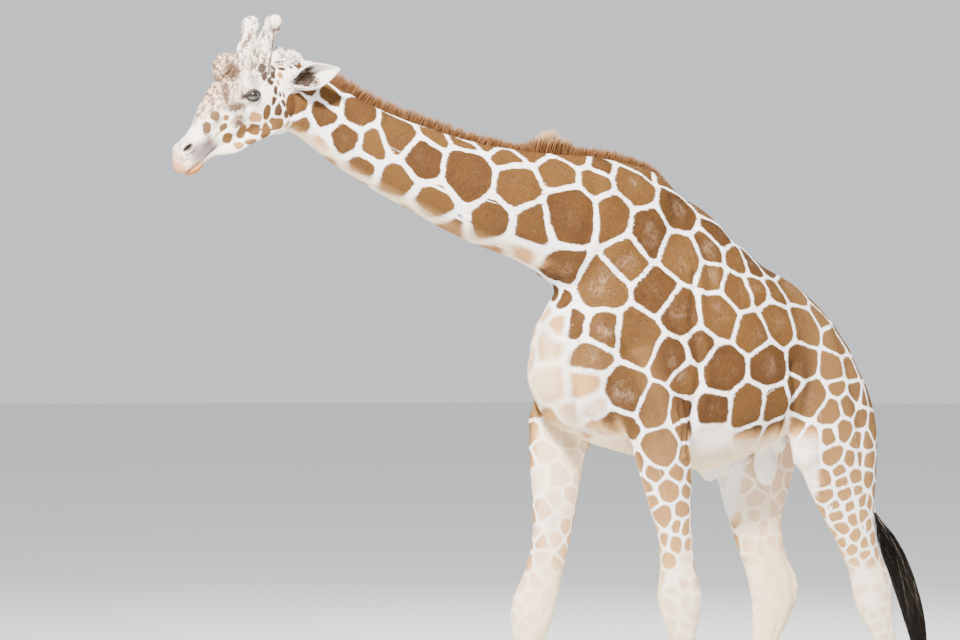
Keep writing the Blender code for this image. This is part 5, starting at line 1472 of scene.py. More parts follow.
# --- growing pieces over a surface or along lines ---------------------------------------------
def growing_tree(name, wanted):
    """A new geometry tree with these named inputs: the tree, its inputs as values, and its end."""
    tree = bpy.data.node_groups.new(name, "GeometryNodeTree")
    tree.interface.new_socket("Base", in_out="INPUT", socket_type="NodeSocketGeometry")
    for label, kind in wanted.items():
        tree.interface.new_socket(label, in_out="INPUT", socket_type=f"NodeSocket{kind}")
    tree.interface.new_socket("Grown", in_out="OUTPUT", socket_type="NodeSocketGeometry")
    entry = tree.nodes.new("NodeGroupInput")
    given = {socket.name: Value(tree, socket) for socket in entry.outputs if socket.name}
    return tree, given, tree.nodes.new("NodeGroupOutput")


def carried(tree, name, kind="FLOAT"):
    """A value that the base's points carry."""
    settings = {"data_type": kind}
    return made(tree, "GeometryNodeInputNamedAttribute", settings, {"Name": name}, "Attribute")


def chance(tree, low, high, seed):
    settings = {"data_type": "FLOAT"}
    return made(tree, "FunctionNodeRandomValue", settings, {2: low, 3: high, "Seed": seed}, 1)


def vector_of(tree, x, y, z):
    return made(tree, "ShaderNodeCombineXYZ", {}, {"X": x, "Y": y, "Z": z})


def ended(tree, leave, pieces, finish):
    """The tree with the end that every piece needs: nothing instanced, and one finish."""
    whole = made(tree, "GeometryNodeRealizeInstances", {}, {"Geometry": pieces})
    whole = made(tree, "GeometryNodeSetMaterial", {}, {"Geometry": whole, "Material": finish})
    tree.links.new(whole.socket, leave.inputs["Grown"])
    return tree


def tuft_tree():
    """Scatters tufts over a surface: each along its own lie, its top towards the carried top."""
    wanted = dict.fromkeys(("Density", "Width", "Spread", "Lift"), "Float")
    wanted |= {"Seed": "Int", "Tuft": "Object", "Finish": "Material"}
    tree, given, leave = growing_tree("tufts", wanted)
    thick = carried(tree, "density") * given["Density"]
    inputs = {"Mesh": given["Base"], "Density": thick, "Seed": given["Seed"]}
    points = made(tree, "GeometryNodeDistributePointsOnFaces", {}, inputs, "Points")
    settings = {"data_type": "FLOAT", "domain": "POINT"}
    inputs = {"Geometry": points, "Name": "hair", "Value": chance(tree, 0.0, 1.0, 5)}
    points = made(tree, "GeometryNodeStoreNamedAttribute", settings, inputs, "Geometry")
    lie, top = carried(tree, "lie", "FLOAT_VECTOR"), carried(tree, "top", "FLOAT_VECTOR")
    turn = made(tree, "FunctionNodeAlignRotationToVector", {"axis": "X"}, {"Vector": lie})
    settings = {"axis": "Z", "pivot_axis": "X"}
    turn = made(tree, "FunctionNodeAlignRotationToVector", settings, {"Rotation": turn, "Vector": top})
    spread, lift = given["Spread"], given["Lift"]
    roll = chance(tree, -1.0, 1.0, 1) * spread
    pitch = chance(tree, -1.6, -0.4, 2) * lift
    swing = chance(tree, -1.0, 1.0, 3) * spread
    own = made(tree, "FunctionNodeEulerToRotation", {}, {"Euler": vector_of(tree, roll, pitch, swing)})
    settings = {"rotation_space": "LOCAL"}
    turn = made(tree, "FunctionNodeRotateRotation", settings, {"Rotation": turn, "Rotate By": own})
    long = carried(tree, "length") * chance(tree, 0.72, 1.18, 4)
    wide = given["Width"] * chance(tree, 0.7, 1.25, 6)
    tuft = made(tree, "GeometryNodeObjectInfo", {}, {"Object": given["Tuft"]}, "Geometry")
    size = vector_of(tree, long, wide, wide)
    inputs = {"Points": points, "Instance": tuft, "Rotation": turn, "Scale": size}
    tufts = made(tree, "GeometryNodeInstanceOnPoints", {}, inputs, "Instances")
    return ended(tree, leave, tufts, given["Finish"])


def strand_tree():
    """Gives loose lines of edges a round body, as thick as the radius that their points carry."""
    tree, given, leave = growing_tree("strands", {"Sides": "Int", "Finish": "Material"})
    line = made(tree, "GeometryNodeMeshToCurve", {}, {"Mesh": given["Base"]}, "Curve")
    inputs = {"Resolution": given["Sides"], "Radius": 1.0}
    section = made(tree, "GeometryNodeCurvePrimitiveCircle", {}, inputs)
    thick = carried(tree, "thick")
    inputs = {"Curve": line, "Profile Curve": section, "Scale": thick, "Fill Caps": True}
    return ended(tree, leave, made(tree, "GeometryNodeCurveToMesh", {}, inputs), given["Finish"])


def grown(name, base, tree, **values):
    """A new piece: what the tree makes of the base mesh with these input values."""
    thing = linked(name, base)
    modifier = thing.modifiers.new("grow", "NODES")
    modifier.node_group = tree
    for item in tree.interface.items_tree:
        label = item.name.lower()
        if item.in_out == "INPUT" and label in values:
            modifier[item.identifier] = values[label]
    return applied(thing)


def tuft_shape(name, levels, bow):
    """A tapering three-sided lock along X, closed at both ends. levels are places and half widths."""
    loops = []
    for along, half in levels:
        rise = bow * along**2
        corners = ((-half, rise - 0.24 * half), (half, rise - 0.24 * half), (0.0, rise + 0.5 * half))
        loops.append([(along, across, up) for across, up in corners])
    shape = bridged(loops, closed_ends=False)
    tip = shape.verts.new((1.0, 0.0, bow))
    shape.verts.ensure_lookup_table()
    root, last = shape.verts[:3], shape.verts[-4:-1]
    for k in range(3):
        shape.faces.new((last[k], last[(k + 1) % 3], tip))
    shape.faces.new(root)
    bmesh.ops.triangulate(shape, faces=shape.faces)
    bmesh.ops.recalc_face_normals(shape, faces=shape.faces)
    thing = as_object(shape, name)
    give(thing, "rise", points_of(thing)[:, 0])
    thing.hide_render = True
    return thing


FACE_TUFT_WIDTH, COAT_TUFT_WIDTH = 0.0017, 0.0037


def tuft_unwrap(thing, patch=0.003):
    """Each tuft is a small patch of the unwrap at its root's place."""
    mesh = thing.data
    root = fetched(mesh.attributes["root_uv"].data, "vector", 2)
    corners = np.array([(-0.5, -0.5), (0.5, -0.5), (0.0, 0.0), (0.0, 0.5)]) * patch
    root = np.clip(root + corners[np.arange(len(root)) % 4], 0.0, 1.0)
    for name in ("OFBake", "root_uv", "lie", "top", "density", "length", "weave"):
        if name in mesh.attributes:
            mesh.attributes.remove(mesh.attributes[name])
    lay_out(thing, root[fetched(mesh.loops, "vertex_index", 1, np.int32)[:, 0]])


def coat_pieces(skin, part, thickness, tree, tuft):
    """The coat in ten pieces, each of one side of one region of the skin."""
    finish, right = hide_finish("coat_hair", True), points_of(skin)[:, 1] > 0
    regions = {"head": part == ON_HEAD, "neck": part == ON_NECK, "trunk": part == ON_TRUNK}
    regions |= {"foreleg": np.isin(part, ON_FORELEGS), "hindleg": part > max(ON_FORELEGS)}
    give(skin, "top", normals_of(skin))
    seed_number = 31
    for region, inside in regions.items():
        for side, word in SIDES.items():
            give(skin, "density", thickness * inside * (right == (side == RIGHT)))
            piece = grown(
                f"coat_{region}_{word}", skin.data, tree, density=1.0, seed=seed_number,
                width=FACE_TUFT_WIDTH if region == "head" else COAT_TUFT_WIDTH,
                spread=0.3, lift=0.13, tuft=tuft, finish=finish,
            )
            tuft_unwrap(piece)
            settled(piece, "hide", smooth=False)
            seed_number += 1


# --- pieces of their own ----------------------------------------------------------------------
def settled(thing, slot, *nodes, smooth=True):
    """Puts a piece in the model's frame, on its body and in place of its solids. slot is not used."""
    thing.data.transform(Matrix.Translation(HOME))
    if smooth:
        thing.data.shade_smooth()
    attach(thing, "root")
    if nodes:
        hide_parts(*nodes)


def coloured(thing, finish):
    thing.data.materials.append(finish)
    return thing


def mane_piece(surface, tree, lock):
    """Stiff upright locks along the crest, taller over the withers."""
    rows = smooth_rows([(x, 0, z, height) for x, z, height in MANE], 0.012)
    shape = bmesh.new()
    grid, tall, back = [], [], []
    slopes = unit(np.gradient(rows[:, :3], axis=0))
    for row, slope in zip(rows, slopes):
        line = []
        for across in np.linspace(-1, 1, 7):
            foot = (row[0], across * MANE_HALF_WIDTH * 0.8)
            found, _, _, _ = surface.ray_cast(Vector((*foot, 4.0)), -UP)
            z = min(found.z, row[2] + 0.012) if found else row[2]
            line.append(shape.verts.new((*foot, z - 0.01)))
            tall.append(row[3] * (1 - 0.32 * across**2))
            back.append((slope[0], across * 0.2, slope[2]))
        grid.append(line)
    for first, second in zip(grid, grid[1:]):
        for k in range(len(first) - 1):
            shape.faces.new((first[k], second[k], second[k + 1], first[k + 1]))
    base = as_object(shape, "mane_base")
    places, back, tall = points_of(base), np.array(back), np.array(tall)
    give(base, "root", places)
    give(base, "top", -back)
    wave = rough(places * (1, 0.3, 1), 0.045)
    upright = np.cross(back * (1, 0, 1), (0, 1, 0))
    upright *= np.sign(upright[:, 2:])
    sideways = np.array(ACROSS) * back[:, 1:2]
    give(base, "lie", unit(upright + back * (0.16 + 0.22 * wave)[:, None] + sideways))
    give(base, "length", (tall + 0.012) * (1 + 0.16 * rough(places, 0.03)))
    give(base, "density", np.ones(len(places)))
    give(base, "tall", ramp(tall, 0.06, 0.085))
    piece = grown(
        "mane_hair", base.data, tree, density=100_000.0, seed=7, width=0.0042,
        spread=0.16, lift=0.05, tuft=lock, finish=mane_finish(),
    )
    discard(base)
    settled(piece, "mane_hair", "mane", smooth=False)


def mane_finish():
    finish = Finish("mane_hair")
    hair, rise, tall = (read(finish.tree, name) for name in ("hair", "rise", "tall"))
    colour = mixed(hair, (0.076, 0.03, 0.01), (0.155, 0.066, 0.022))
    colour = mixed((1 - rise).step(0.55, 1.0) * 0.7, colour, (0.065, 0.026, 0.01))
    colour = mixed(rise.step(0.5, 1.0) * (tall * 0.62 + 0.12), colour, (0.6, 0.36, 0.18))
    return finish.done(colour, 0.62, specular_ior_level=0.2)


def strands_piece(name, lines, radii, tree, finish, sides, **marks):
    """Hair or lashes along lines of points, each strand tapering as its radii say."""
    count = lines.shape[1]
    mesh = bpy.data.meshes.new(name)
    starts = np.arange(len(lines))[:, None] * count + np.arange(count - 1)[None]
    edges = np.stack([starts, starts + 1], axis=2).reshape(-1, 2)
    mesh.from_pydata(lines.reshape(-1, 3).tolist(), edges.tolist(), [])
    base = linked(f"{name}_lines", mesh)
    give(base, "thick", radii.ravel())
    for label, values in marks.items():
        give(base, label, values.ravel())
    piece = grown(name, base.data, tree, sides=sides, finish=finish)
    discard(base)
    return piece


def tail_brush(tree):
    """Long wavy black hair that hangs from the end of the tail."""
    rows = smooth_rows(TAIL_TUFT, 0.02)
    where = np.linspace(0, 1, len(rows))
    rng = np.random.default_rng(23)
    count, steps = 1850, 14
    start = rng.uniform(-0.02, 0.42, count)
    end = np.clip(start + rng.uniform(0.42, 0.8, count), 0, 1.0)
    share = np.linspace(0, 1, steps)
    along = np.clip(start[:, None] + (end - start)[:, None] * share, 0, 1)
    angle = rng.uniform(0, math.tau, (count, 1))
    angle = angle + 0.5 * np.sin(share * 5 + rng.uniform(0, 6, (count, 1)))
    reach = np.sqrt(rng.uniform(0.0, 1.0, (count, 1))) * (0.25 + 0.75 * ramp(share, 0.0, 0.35)) * 0.93
    centre = np.stack([np.interp(along, where, rows[:, k]) for k in range(5)], axis=2)
    tangent = unit(np.array(TAIL_TUFT[-2][:3]) - np.array(TAIL_TUFT[1][:3]))
    across = np.array(ACROSS)
    front = np.cross(tangent, across)
    wave = 0.006 * np.sin(share * 9 + rng.uniform(0, 6, (count, 1)))
    lines = centre[:, :, :3] + (centre[:, :, 3] * reach * np.cos(angle) + wave)[:, :, None] * across
    lines = lines + (centre[:, :, 4] * reach * np.sin(angle) + wave)[:, :, None] * front
    radii = 0.0013 * (1 - 0.75 * share) * rng.uniform(0.6, 1.2, count)[:, None]
    hair = np.repeat(rng.uniform(0, 1, count)[:, None], steps, axis=1)
    finish = Finish("tail_hair")
    shade, low = read(finish.tree, "hair"), read(finish.tree, "low")
    colour = layered(
        (0.006, 0.0045, 0.004),
        (shade.step(0.93, 0.95) * (1 - low).step(0.2, 0.9), (0.62, 0.55, 0.46)),
        (shade.step(0.2, 0.8) * 0.35, (0.035, 0.022, 0.014)),
    )
    black = finish.done(colour, 0.5, specular_ior_level=0.2)
    piece = strands_piece("tail_brush", lines, radii, tree, black, 3, hair=hair, low=along)
    settled(piece, "tail_hair", "tail_tuft")


# Each horn's rows: along the head, above its axis, out from the middle, half width and half depth
OSSICONE = [
    (0.128, 0.092, 0.05, 0.044, 0.06), (0.108, 0.14, 0.06, 0.052, 0.07),
    (0.078, 0.193, 0.066, 0.051, 0.059), (0.042, 0.234, 0.078, 0.041, 0.045),
    (0.008, 0.262, 0.09, 0.035, 0.037), (-0.03, 0.294, 0.103, 0.035, 0.037),
    (-0.052, 0.316, 0.11, 0.035, 0.037), (-0.064, 0.33, 0.114, 0.027, 0.028),
    (-0.07, 0.337, 0.116, 0.012, 0.012),
]
OSSICONE_GROWTH = {LEFT: 0.91, RIGHT: 1.0}  # the left horn stands a little lower


def ossicone(side):
    """A skin-covered horn: fluted shaft, rough knob."""
    rows = []
    for along, above, out, half, deep in OSSICONE:
        above = OSSICONE[1][1] + (above - OSSICONE[1][1]) * OSSICONE_GROWTH[side]
        rows.append((*on_head(along, above, side * out), half, deep, deep, 2.1, 2.1))
    thing = as_object(tube(rows, HEAD_ALONG, 0.0035, 72), f"ossicone_{SIDES[side]}_dressed")
    smoothed(thing, 12)
    points, normals = points_of(thing), normals_of(thing)
    knob = ramp(head_places(points)[:, 1], 0.27, 0.31)
    flutes = rough(points * (1, 1, 0.42), 0.022)
    grit = rough(points, 0.0095)
    swell = flutes * 0.005 + grit * (0.0032 + 0.001 * knob) + rough(points, 0.05) * 0.004
    set_points(thing, points + normals * (swell - 0.0032)[:, None])
    # Painted shade: darker where the flutes and grit sink in.
    give(thing, "crease", ramp(-(0.85 * flutes + 0.75 * grit), -0.12, 0.5))
    edge, spot = head_edges(points, np.zeros(len(points)))
    give(thing, "spot", ramp(edge, -0.0012, 0.0012) * np.array(HEAD_SPOTS)[spot, 6])
    give(thing, "root", points)
    give(thing, "knob", knob)
    return thing


def horn_finish():
    finish = Finish("horn_skin")
    tree = finish.tree
    place = read(tree, "root", "Vector")
    broad = grain(tree, place, 0.03, 3.0)
    fine = grain(tree, scaled(place, (1, 1, 0.35)), 0.0055, 3.0, 0.7)
    blotch = grain(tree, scaled(place, (1, 1, 0.6)), 0.019, 2.0, 0.6)
    colour = layered(
        (0.88, 0.8, 0.73),
        ((broad * 0.6 + 0.4).step(0.0, 1.0), (0.46, 0.33, 0.25)),
        ((fine * 0.7 + 0.3).step(0.0, 1.0) * 0.4, (0.4, 0.28, 0.21)),
        ((blotch * 1.6 + 0.1).step(0.0, 0.8) * 0.95, (0.12, 0.066, 0.04)),
        (read(tree, "knob") * 0.3, (0.66, 0.54, 0.48)),
        # Painted shade in the horn's grooves.
        (read(tree, "crease") * 0.95, (0.07, 0.036, 0.022)),
        (read(tree, "spot"), (0.035, 0.017, 0.01)),
    )
    finish.bumped(fine + broad * 0.4, 0.0022, 0.6)
    return finish.done(colour, 0.7)


EAR_LENGTH, EAR_WIDTH, EAR_THICKNESS = {LEFT: 0.208, RIGHT: 0.218}, 0.106, 0.0055
EAR_ROWS, EAR_COLUMNS = 40, 30
EAR_ROOT = (0.016, 0.026, 0.084)
# Where each ear's tip points and which way its hollow faces
EAR_SETS = {
    LEFT: (Vector((0.164, -0.11, 0.059)), Vector((-0.6, -0.8, -0.05))),
    RIGHT: (Vector((0.193, 0.02, 0.12)), Vector((-0.2, 0.95, 0.1))),
}


def ear_root(side):
    along, above, out = EAR_ROOT
    return on_head(along, above, side * out)


def ear(side):
    """A cupped leaf of skin: a rolled stalk that opens into a broad blade with a blunt point."""
    pointing, hollow = EAR_SETS[side]
    along = pointing.normalized()
    facing = (hollow - hollow.dot(along) * along).normalized()
    across = along.cross(facing)
    root = ear_root(side)
    shape = bmesh.new()
    grid, marks = [], []
    for i in range(EAR_ROWS + 1):
        t = i / EAR_ROWS
        swell = 0.4 + 0.6 * math.sin(math.pi * min(t * 1.05, 1) ** 0.95)
        half = max(EAR_WIDTH / 2 * swell * (1 - t**5) ** 0.5, 0.002)
        curl = math.radians(150 - 95 * t)
        bend = half / math.sin(min(curl, math.pi / 2))
        row = []
        for j in range(EAR_COLUMNS + 1):
            over = 2 * j / EAR_COLUMNS - 1
            angle = curl * over
            place = root + along * EAR_LENGTH[side] * t
            rise = math.cos(curl * 0.5) - math.cos(angle)
            place += across * bend * math.sin(angle) + facing * bend * rise
            place += facing * 0.0022 * math.cos(over * 9.5) * math.sin(math.pi * t)
            row.append(shape.verts.new(place))
            marks.append((t, over))
        grid.append(row)
    for low, high in zip(grid, grid[1:]):
        for j in range(EAR_COLUMNS):
            shape.faces.new((low[j], low[j + 1], high[j + 1], high[j]))
    blade = as_object(shape, f"ear_{SIDES[side]}_dressed")
    marks = np.array(marks)
    give(blade, "reach", marks[:, 0])
    give(blade, "over", np.abs(marks[:, 1]))
    give(blade, "root", points_of(blade))
    thick = blade.modifiers.new("thick", "SOLIDIFY")
    thick.thickness = EAR_THICKNESS
    thick.offset = 0
    applied(blade)
    give(blade, "inner", ramp(normals_of(blade) @ np.array(facing), -0.1, 0.2))
    return blade, facing, along


def ear_finish():
    finish = Finish("ear_skin")
    fine = grain(finish.tree, read(finish.tree, "root", "Vector"), 0.006, 3.0, 0.7)
    colour = mixed((fine * 0.5 + 0.3).step(0.0, 1.0) * 0.4, (0.84, 0.82, 0.8), (0.62, 0.54, 0.46))
    deep = read(finish.tree, "inner") * (1 - read(finish.tree, "reach").step(0.1, 0.75))
    colour = mixed(deep * 0.8, colour, (0.34, 0.22, 0.17))
    finish.bumped(fine, 0.0015, 0.5)
    return finish.done(colour, 0.75)


def ear_hair(blade, facing, along, side, tree, tuft, lock):
    """Short white hair all over an ear, and long dark hair rooted in its hollow."""
    reach, over, inner = (values_of(blade, name) for name in ("reach", "over", "inner"))
    places, normals = points_of(blade), normals_of(blade)
    give(blade, "top", normals)
    lie = np.array(along) + 0.3 * np.array(facing) * np.ones((len(places), 1))
    lie -= (lie * normals).sum(1)[:, None] * normals
    give(blade, "lie", unit(lie))
    give(blade, "length", 0.0075 + 0.006 * ramp(over, 0.8, 1.0))
    give(blade, "density", 1.0 * (reach > 0.02))
    white = hair_finish("ear_hair", (0.86, 0.84, 0.83), (0.66, 0.58, 0.5), (0.9, 0.89, 0.88), 0.4)
    word = SIDES[side]
    coat = grown(
        f"ear_coat_{word}", blade.data, tree, density=120_000.0, seed=61 + side, width=0.0017,
        spread=0.3, lift=0.14, tuft=tuft, finish=white,
    )
    settled(coat, "ear", smooth=False)
    deep = inner * (1 - ramp(reach, 0.3, 0.52)) * (1 - ramp(over, 0.55, 0.85))
    give(blade, "density", deep * ramp(rough(places, 0.022), -0.35, 0.15))
    give(blade, "length", 0.022 + 0.022 * (1 - reach))
    outward = (0.35 + 0.4 * (1 - reach))[:, None]
    give(blade, "lie", unit(np.array(along) * 0.9 + np.array(facing) * outward))
    browns = (0.03, 0.016, 0.01), (0.11, 0.06, 0.034), (0.16, 0.095, 0.06)
    dark = hair_finish("ear_dark_hair", *browns, 0.5)
    inside = grown(
        f"ear_lining_{word}", blade.data, tree, density=46_000.0, seed=71 + side, width=0.0022,
        spread=0.22, lift=0.16, tuft=lock, finish=dark,
    )
    settled(inside, "ear", smooth=False)


def hair_finish(name, root, middle, tip, roughness=0.6):
    """Hair whose colour runs from its root to its tip, and differs from lock to lock."""
    finish = Finish(name)
    hair, rise = read(finish.tree, "hair"), read(finish.tree, "rise")
    colour = mixed((hair + rise * 0.4).step(0.1, 1.2), root, middle)
    colour = mixed(rise.step(0.5, 1.0) * 0.6, colour, tip)
    return finish.done(colour, roughness, specular_ior_level=0.2)


def poll_hair(skin, part, tree, lock):
    """Scruffy hair on the poll behind the horns and round the roots of the ears."""
    places = points_of(skin)
    along, above, out = head_places(places).T
    top = (part <= ON_HEAD) * ramp(above, 0.075, 0.1) * between(along, -0.13, -0.09, -0.01, 0.02)
    root = np.zeros(len(places))
    for side in SIDES:
        away = lengths(places - np.array(ear_root(side)))
        root = np.maximum(root, 1 - ramp(away, 0.026, 0.044))
    give(skin, "density", np.clip(top * (1 - ramp(np.abs(out), 0.06, 0.09)) + 0.7 * root, 0, 1))
    give(skin, "length", 0.02 + 0.016 * top * (0.5 + 0.5 * rough(places, 0.03)) - 0.006 * root)
    back = np.array([0.75, 0, 0.15]) + 0.9 * normals_of(skin) * (0.35 + 0.4 * top)[:, None]
    back = back + 0.4 * rough_ways(places, 0.035, (2.0, 4.0, 8.0))
    give(skin, "lie", unit(back))
    pale = hair_finish("poll_hair", (0.24, 0.135, 0.075), (0.84, 0.8, 0.76), (0.9, 0.88, 0.86))
    piece = grown(
        "poll_hair", skin.data, tree, density=42_000.0, seed=81, width=0.0026,
        spread=0.35, lift=0.16, tuft=lock, finish=pale,
    )
    settled(piece, "mane_hair", smooth=False)


def eye_piece(side, finish):
    """The eyeball with its cornea, and dark iris and pupil."""
    thing = as_object(ball(eye_place(side), [EYE_RADIUS] * 3), f"eye_{SIDES[side]}_dressed")
    points = points_of(thing)
    eye = eye_places(points, side)
    apart = np.hypot(eye[:, 0], eye[:, 1])
    clear = (1 - ramp(apart, 0.01, 0.0195)) * (eye[:, 2] > 0)
    out = np.array(ACROSS) * side
    set_points(thing, points + out * (0.0012 * clear)[:, None])
    give(thing, "apart", np.where(eye[:, 2] > 0, apart, 0.03))
    give(thing, "slot", np.hypot(eye[:, 0] / 1.9, eye[:, 1]))
    settled(coloured(thing, finish), "eye", f"eye_{SIDES[side]}")


def eye_finish():
    finish = Finish("eye")
    apart, slot = read(finish.tree, "apart"), read(finish.tree, "slot")
    colour = mixed(apart.step(0.0165, 0.0185), (0.016, 0.008, 0.005), (0.035, 0.02, 0.014))
    colour = mixed(1 - slot.step(0.0048, 0.0062), colour, (0.003, 0.003, 0.004))
    return finish.done(colour, 0.05, coat_weight=1.0, coat_roughness=0.02)


LID_RINGS = (-0.004, -0.0015, 0.0, 0.0012, 0.003, 0.0055, 0.0085, 0.0115, 0.015, 0.019, 0.024, 0.03)
LID_POINTS = 72


def lids(side, surface):
    """Upper and lower lid in one ring round the eye, blending into the skin."""
    forward, lift, out = eye_axes(side)
    centre = eye_place(side)
    loops, marks = [], []
    for offset in LID_RINGS:
        loop = []
        for c, s in round_the_clock(LID_POINTS):
            x = EYE_HALF_LENGTH * c
            y = EYE_HALF_HEIGHT * s * abs(s) ** 0.25
            direction = Vector((c, s * 1.15, 0)).normalized()
            x, y = x + direction.x * offset, y + direction.y * offset
            apart = math.hypot(x, y)
            upper = ramp(s, -0.2, 0.5)
            roll = 0.0042 + 0.002 * upper * bell(offset - 0.0045, 0.0035)
            roll -= 0.003 * upper * bell(offset - 0.012, 0.0022)
            roll -= 0.0022 * (1 - upper) * bell(offset - 0.0085, 0.0022)
            radius = EYE_RADIUS - 0.0008 + roll * ramp(offset, -0.004, 0.003)
            ball_height = math.sqrt(max(radius**2 - min(apart, 0.93 * radius) ** 2, 0))
            ball_height -= max(0.0, apart - 0.93 * radius) * 0.55
            foot = centre + forward * x + lift * y
            found, _, _, _ = surface.ray_cast(foot + out * 0.12, -out)
            skin_height = (found - centre).dot(out) if found is not None else ball_height
            share = ramp(offset, 0.0085, 0.023)
            high = ball_height * (1 - share) + (skin_height - 0.002 * ramp(offset, 0.02, 0.03)) * share
            loop.append(foot + out * float(high))
            marks.append((offset, ramp(abs(c), 0.75, 1.0), float(upper)))
        loops.append(loop)
    thing = as_object(bridged(loops, closed_ends=False), f"lids_{SIDES[side]}")
    for name, values in zip(("offset", "corner", "upper"), np.array(marks, float).T):
        give(thing, name, values)
    give(thing, "root", points_of(thing))
    if side == RIGHT:
        thing.data.flip_normals()
    return thing


def lid_finish():
    finish = Finish("lid_skin")
    tree = finish.tree
    fine = grain(tree, read(tree, "root", "Vector"), 0.004, 3.0, 0.65)
    pale = mixed((fine * 0.5 + 0.4).step(0.0, 1.0), (0.8, 0.76, 0.72), (0.55, 0.46, 0.4))
    grey = mixed((fine * 0.5 + 0.5).step(0.0, 1.0), (0.2, 0.15, 0.13), (0.09, 0.065, 0.06))
    offset, corner, upper = (read(tree, name) for name in ("offset", "corner", "upper"))
    rim = offset - corner * 0.022 + upper * 0.005 - 0.0022 + fine * 0.0012
    colour = mixed(rim.step(0.01, 0.02), grey, pale)
    colour = mixed(1 - rim.step(0.0072, 0.0128), colour, (0.012, 0.008, 0.007))
    finish.bumped(fine, 0.001, 0.5)
    return finish.done(colour, 0.45)


def lashes(side, tree, finish):
    """Long lashes on the upper lid's edge, pointing out and down."""
    forward, lift, out = (np.array(axis) for axis in eye_axes(side))
    rng = np.random.default_rng(40 + side)
    count, steps = 64, 7
    turn = np.linspace(math.radians(12), math.radians(168), count) + rng.normal(0, 0.02, count)
    x = (EYE_HALF_LENGTH + 0.0015) * np.cos(turn)
    y = (EYE_HALF_HEIGHT + 0.0015) * np.sin(turn) ** 1.25
    high = np.sqrt(np.maximum((EYE_RADIUS + 0.002) ** 2 - x**2 - y**2, 0))
    foot = np.array(eye_place(side)) + x[:, None] * forward + y[:, None] * lift + high[:, None] * out
    length = rng.uniform(0.016, 0.026, count)[:, None] * (0.55 + 0.45 * np.sin(turn))[:, None]
    share = np.linspace(0, 1, steps)
    away = unit(out + forward * (x / 0.03)[:, None] + lift * 0.05)
    droop = share[None, :, None] ** 2 * length[:, None] * (-0.55 * lift - 0.1 * out)[None, None]
    lines = foot[:, None] + away[:, None] * (length * share)[:, :, None] + droop
    radii = np.repeat((0.00042 * (1 - 0.8 * share))[None], count, axis=0)
    settled(strands_piece(f"lashes_{SIDES[side]}", lines, radii, tree, finish, 4), "eye")


# Each kind of leg, and the length and width of its hoof
HOOVES = (("front", FORELEGS, 0.245, 0.205), ("hind", HINDLEGS, 0.225, 0.185))
CLEFT, HOOF_LEAN = 0.01, 0.05
HOOF_LEVELS, HOOF_POINTS = 18, 48


def claw(length, width, x, y, step, half, deep):
    """One claw of a foot: growth rings, a rounded coronet edge and a flat sole."""
    top = HOOF_TOP - 0.0004
    loops = []
    for i in range(HOOF_LEVELS + 1):
        t = i / HOOF_LEVELS
        claw_half = (half + (width / 2 - half) * t) / 2 - CLEFT / 4
        claw_deep = deep + (length / 2 - deep) * t
        shrink = 0.988 - 0.1 * math.exp(-t / 0.02) - 0.045 * math.exp(-(1 - t) / 0.02)
        shrink -= 0.006 * (0.5 + 0.5 * math.cos(t * 52)) * ramp(t, 0.02, 0.1)
        cx, cy = x - HOOF_LEAN * t, y + step * (claw_half + CLEFT / 2)
        loop = []
        for c, s in round_the_clock(HOOF_POINTS):
            reach, full = (claw_deep * 1.04, 2.2) if s >= 0 else (claw_deep * 0.92, 2.6)
            across = fuller(c, full if c * step > 0 else 4.5) * claw_half * shrink
            ahead = fuller(s, full) * reach * shrink
            loop.append(Vector((cx - ahead, cy + across, top - top * t)))
        loops.append(loop)
    return bridged(loops)


def hooves():
    finish = Finish("hoof_horn")
    tree = finish.tree
    place = made(tree, "ShaderNodeTexCoord", {}, {}, "Object")
    streak = grain(tree, scaled(place, (1.0, 1.0, 0.12)), 0.006, 3.0, 0.6)
    shade = (streak * 0.5 + grain(tree, place, 0.05, 3.0) * 0.4 + 0.5).step(0.0, 1.0)
    finish.bumped(streak, 0.001, 0.4)
    horn = finish.done(mixed(shade, (0.04, 0.028, 0.021), (0.12, 0.086, 0.062)), 0.5)
    for word, legs, length, width in HOOVES:
        for side, rows in legs.items():
            x, out, _, half, deep, _ = rows[-1]
            for inner_or_outer, step in (("inner", -side), ("outer", side)):
                name = f"hoof_{word}_{SIDES[side]}_{inner_or_outer}"
                shape = claw(length, width, x, side * out, step, half, deep)
                settled(coloured(as_object(shape, f"{name}_horn"), horn), "hoof", name)


# --- floor, light and camera ------------------------------------------------------------------
CAMERA_PLACE = Vector((-6.80963305, -10.10486298, 2.3))
CAMERA_TURN = math.radians(30)  # the camera looks this far round from square on, towards the tail
CAMERA_LENS = 96.75  # millimetres, on a film 36 mm wide
FLOOR_REACH = 60.0


def area_light(name, place, target, size, power, colour):
    lamp = bpy.data.lights.new(name, "AREA")
    lamp.shape = "DISK"
    lamp.size = size
    lamp.energy = power
    lamp.color = colour
    thing = linked(name, lamp)
    thing.location = Vector(place) + HOME
    thing.rotation_euler = (Vector(target) - Vector(place)).to_track_quat("-Z", "Y").to_euler()


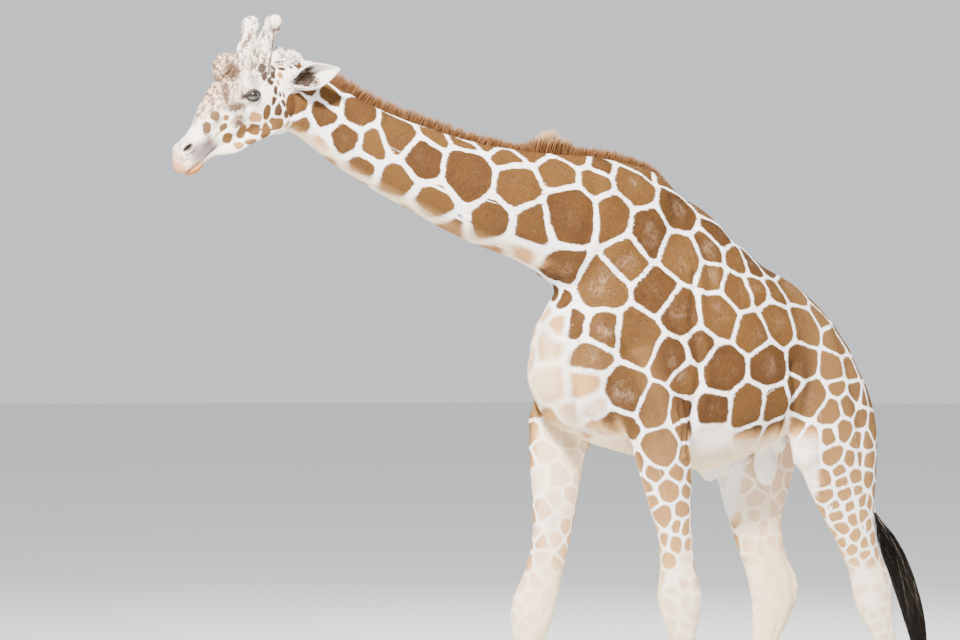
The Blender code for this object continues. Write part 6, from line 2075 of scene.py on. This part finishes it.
def studio():
    """A wide pale floor, soft lamps and an even pale sky."""
    shape = bmesh.new()
    bmesh.ops.create_circle(shape, cap_ends=True, segments=96, radius=FLOOR_REACH)
    floor = coloured(as_object(shape, "floor"), Finish("pale_floor").done((0.8, 0.8, 0.79), 0.9))
    area_light("key_lamp", (-5.5, -5.0, 7.5), (-0.4, 0, 2.2), 1.1, 4200, (1.0, 0.955, 0.88))
    area_light("fill_lamp", (-1.5, -8.0, 0.9), (-0.1, 0, 1.9), 4.0, 90, (0.97, 0.97, 1.0))
    area_light("rim_lamp", (4.0, 5.0, 6.5), (0, 0, 2.4), 3.0, 900, (1, 1, 1))
    world = bpy.data.worlds.new("sky")
    world.use_nodes = True
    even = world.node_tree.nodes["Background"].inputs
    even["Color"].default_value = (0.93, 0.955, 1.0, 1)
    even["Strength"].default_value = 0.9
    bpy.context.scene.world = world
    lens = bpy.data.cameras.new("camera")
    lens.lens = CAMERA_LENS
    lens.sensor_width = 36
    camera = linked("camera", lens)
    camera.location = CAMERA_PLACE + HOME
    camera.rotation_euler = (math.radians(90), 0, -CAMERA_TURN)
    bpy.context.scene.camera = camera


# --- the whole --------------------------------------------------------------------------------
def flesh_nodes():
    flesh = ("head", "lower_jaw", "neck", "trunk", "foreleg", "hindleg")
    return [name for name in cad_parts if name.startswith(flesh) or name == "tail"]


def main():
    tufts, strands = tuft_tree(), strand_tree()
    skin, surface = skin_form()
    charts, part = charts_of(points_of(skin))
    rng = np.random.default_rng(11)
    seeds = fill_seeds(laid_seeds(surface, points_of(skin), rng), points_of(skin), part, charts, rng)
    give(skin, "gap", gap_widths(points_of(skin), charts, part, edges_of(skin)))
    refined(skin, seeds)
    charts, part = charts_of(points_of(skin))
    thickness = markings(skin, seeds, rng, charts, part)
    unwrap(skin, charts, part)
    tuft = tuft_shape("coat_tuft", [(0.0, 0.5)], 0.12)
    coat_pieces(skin, part, thickness, tufts, tuft)
    lock = tuft_shape("mane_lock", [(0.0, 0.5), (0.3, 0.55), (0.62, 0.42), (0.86, 0.22)], 0.4)
    poll_hair(skin, part, tufts, lock)
    settled(coloured(skin, hide_finish("hide_skin", False)), "hide", *flesh_nodes())
    mane_piece(surface, tufts, lock)
    tail_brush(strands)
    horn_skin, ear_skin, eye_gloss, lid_skin = horn_finish(), ear_finish(), eye_finish(), lid_finish()
    lash_black = Finish("lash_hair").done((0.012, 0.009, 0.008), 0.5)
    for side, word in SIDES.items():
        settled(coloured(ossicone(side), horn_skin), "ossicone", f"ossicone_{word}")
        blade, facing, along = ear(side)
        ear_hair(blade, facing, along, side, tufts, tuft, lock)
        settled(coloured(blade, ear_skin), "ear", f"ear_{word}")
        eye_piece(side, eye_gloss)
        settled(coloured(lids(side, surface), lid_skin), "hide")
        lashes(side, strands, lash_black)
    hooves()
    discard(tuft)
    discard(lock)
    studio()


main()
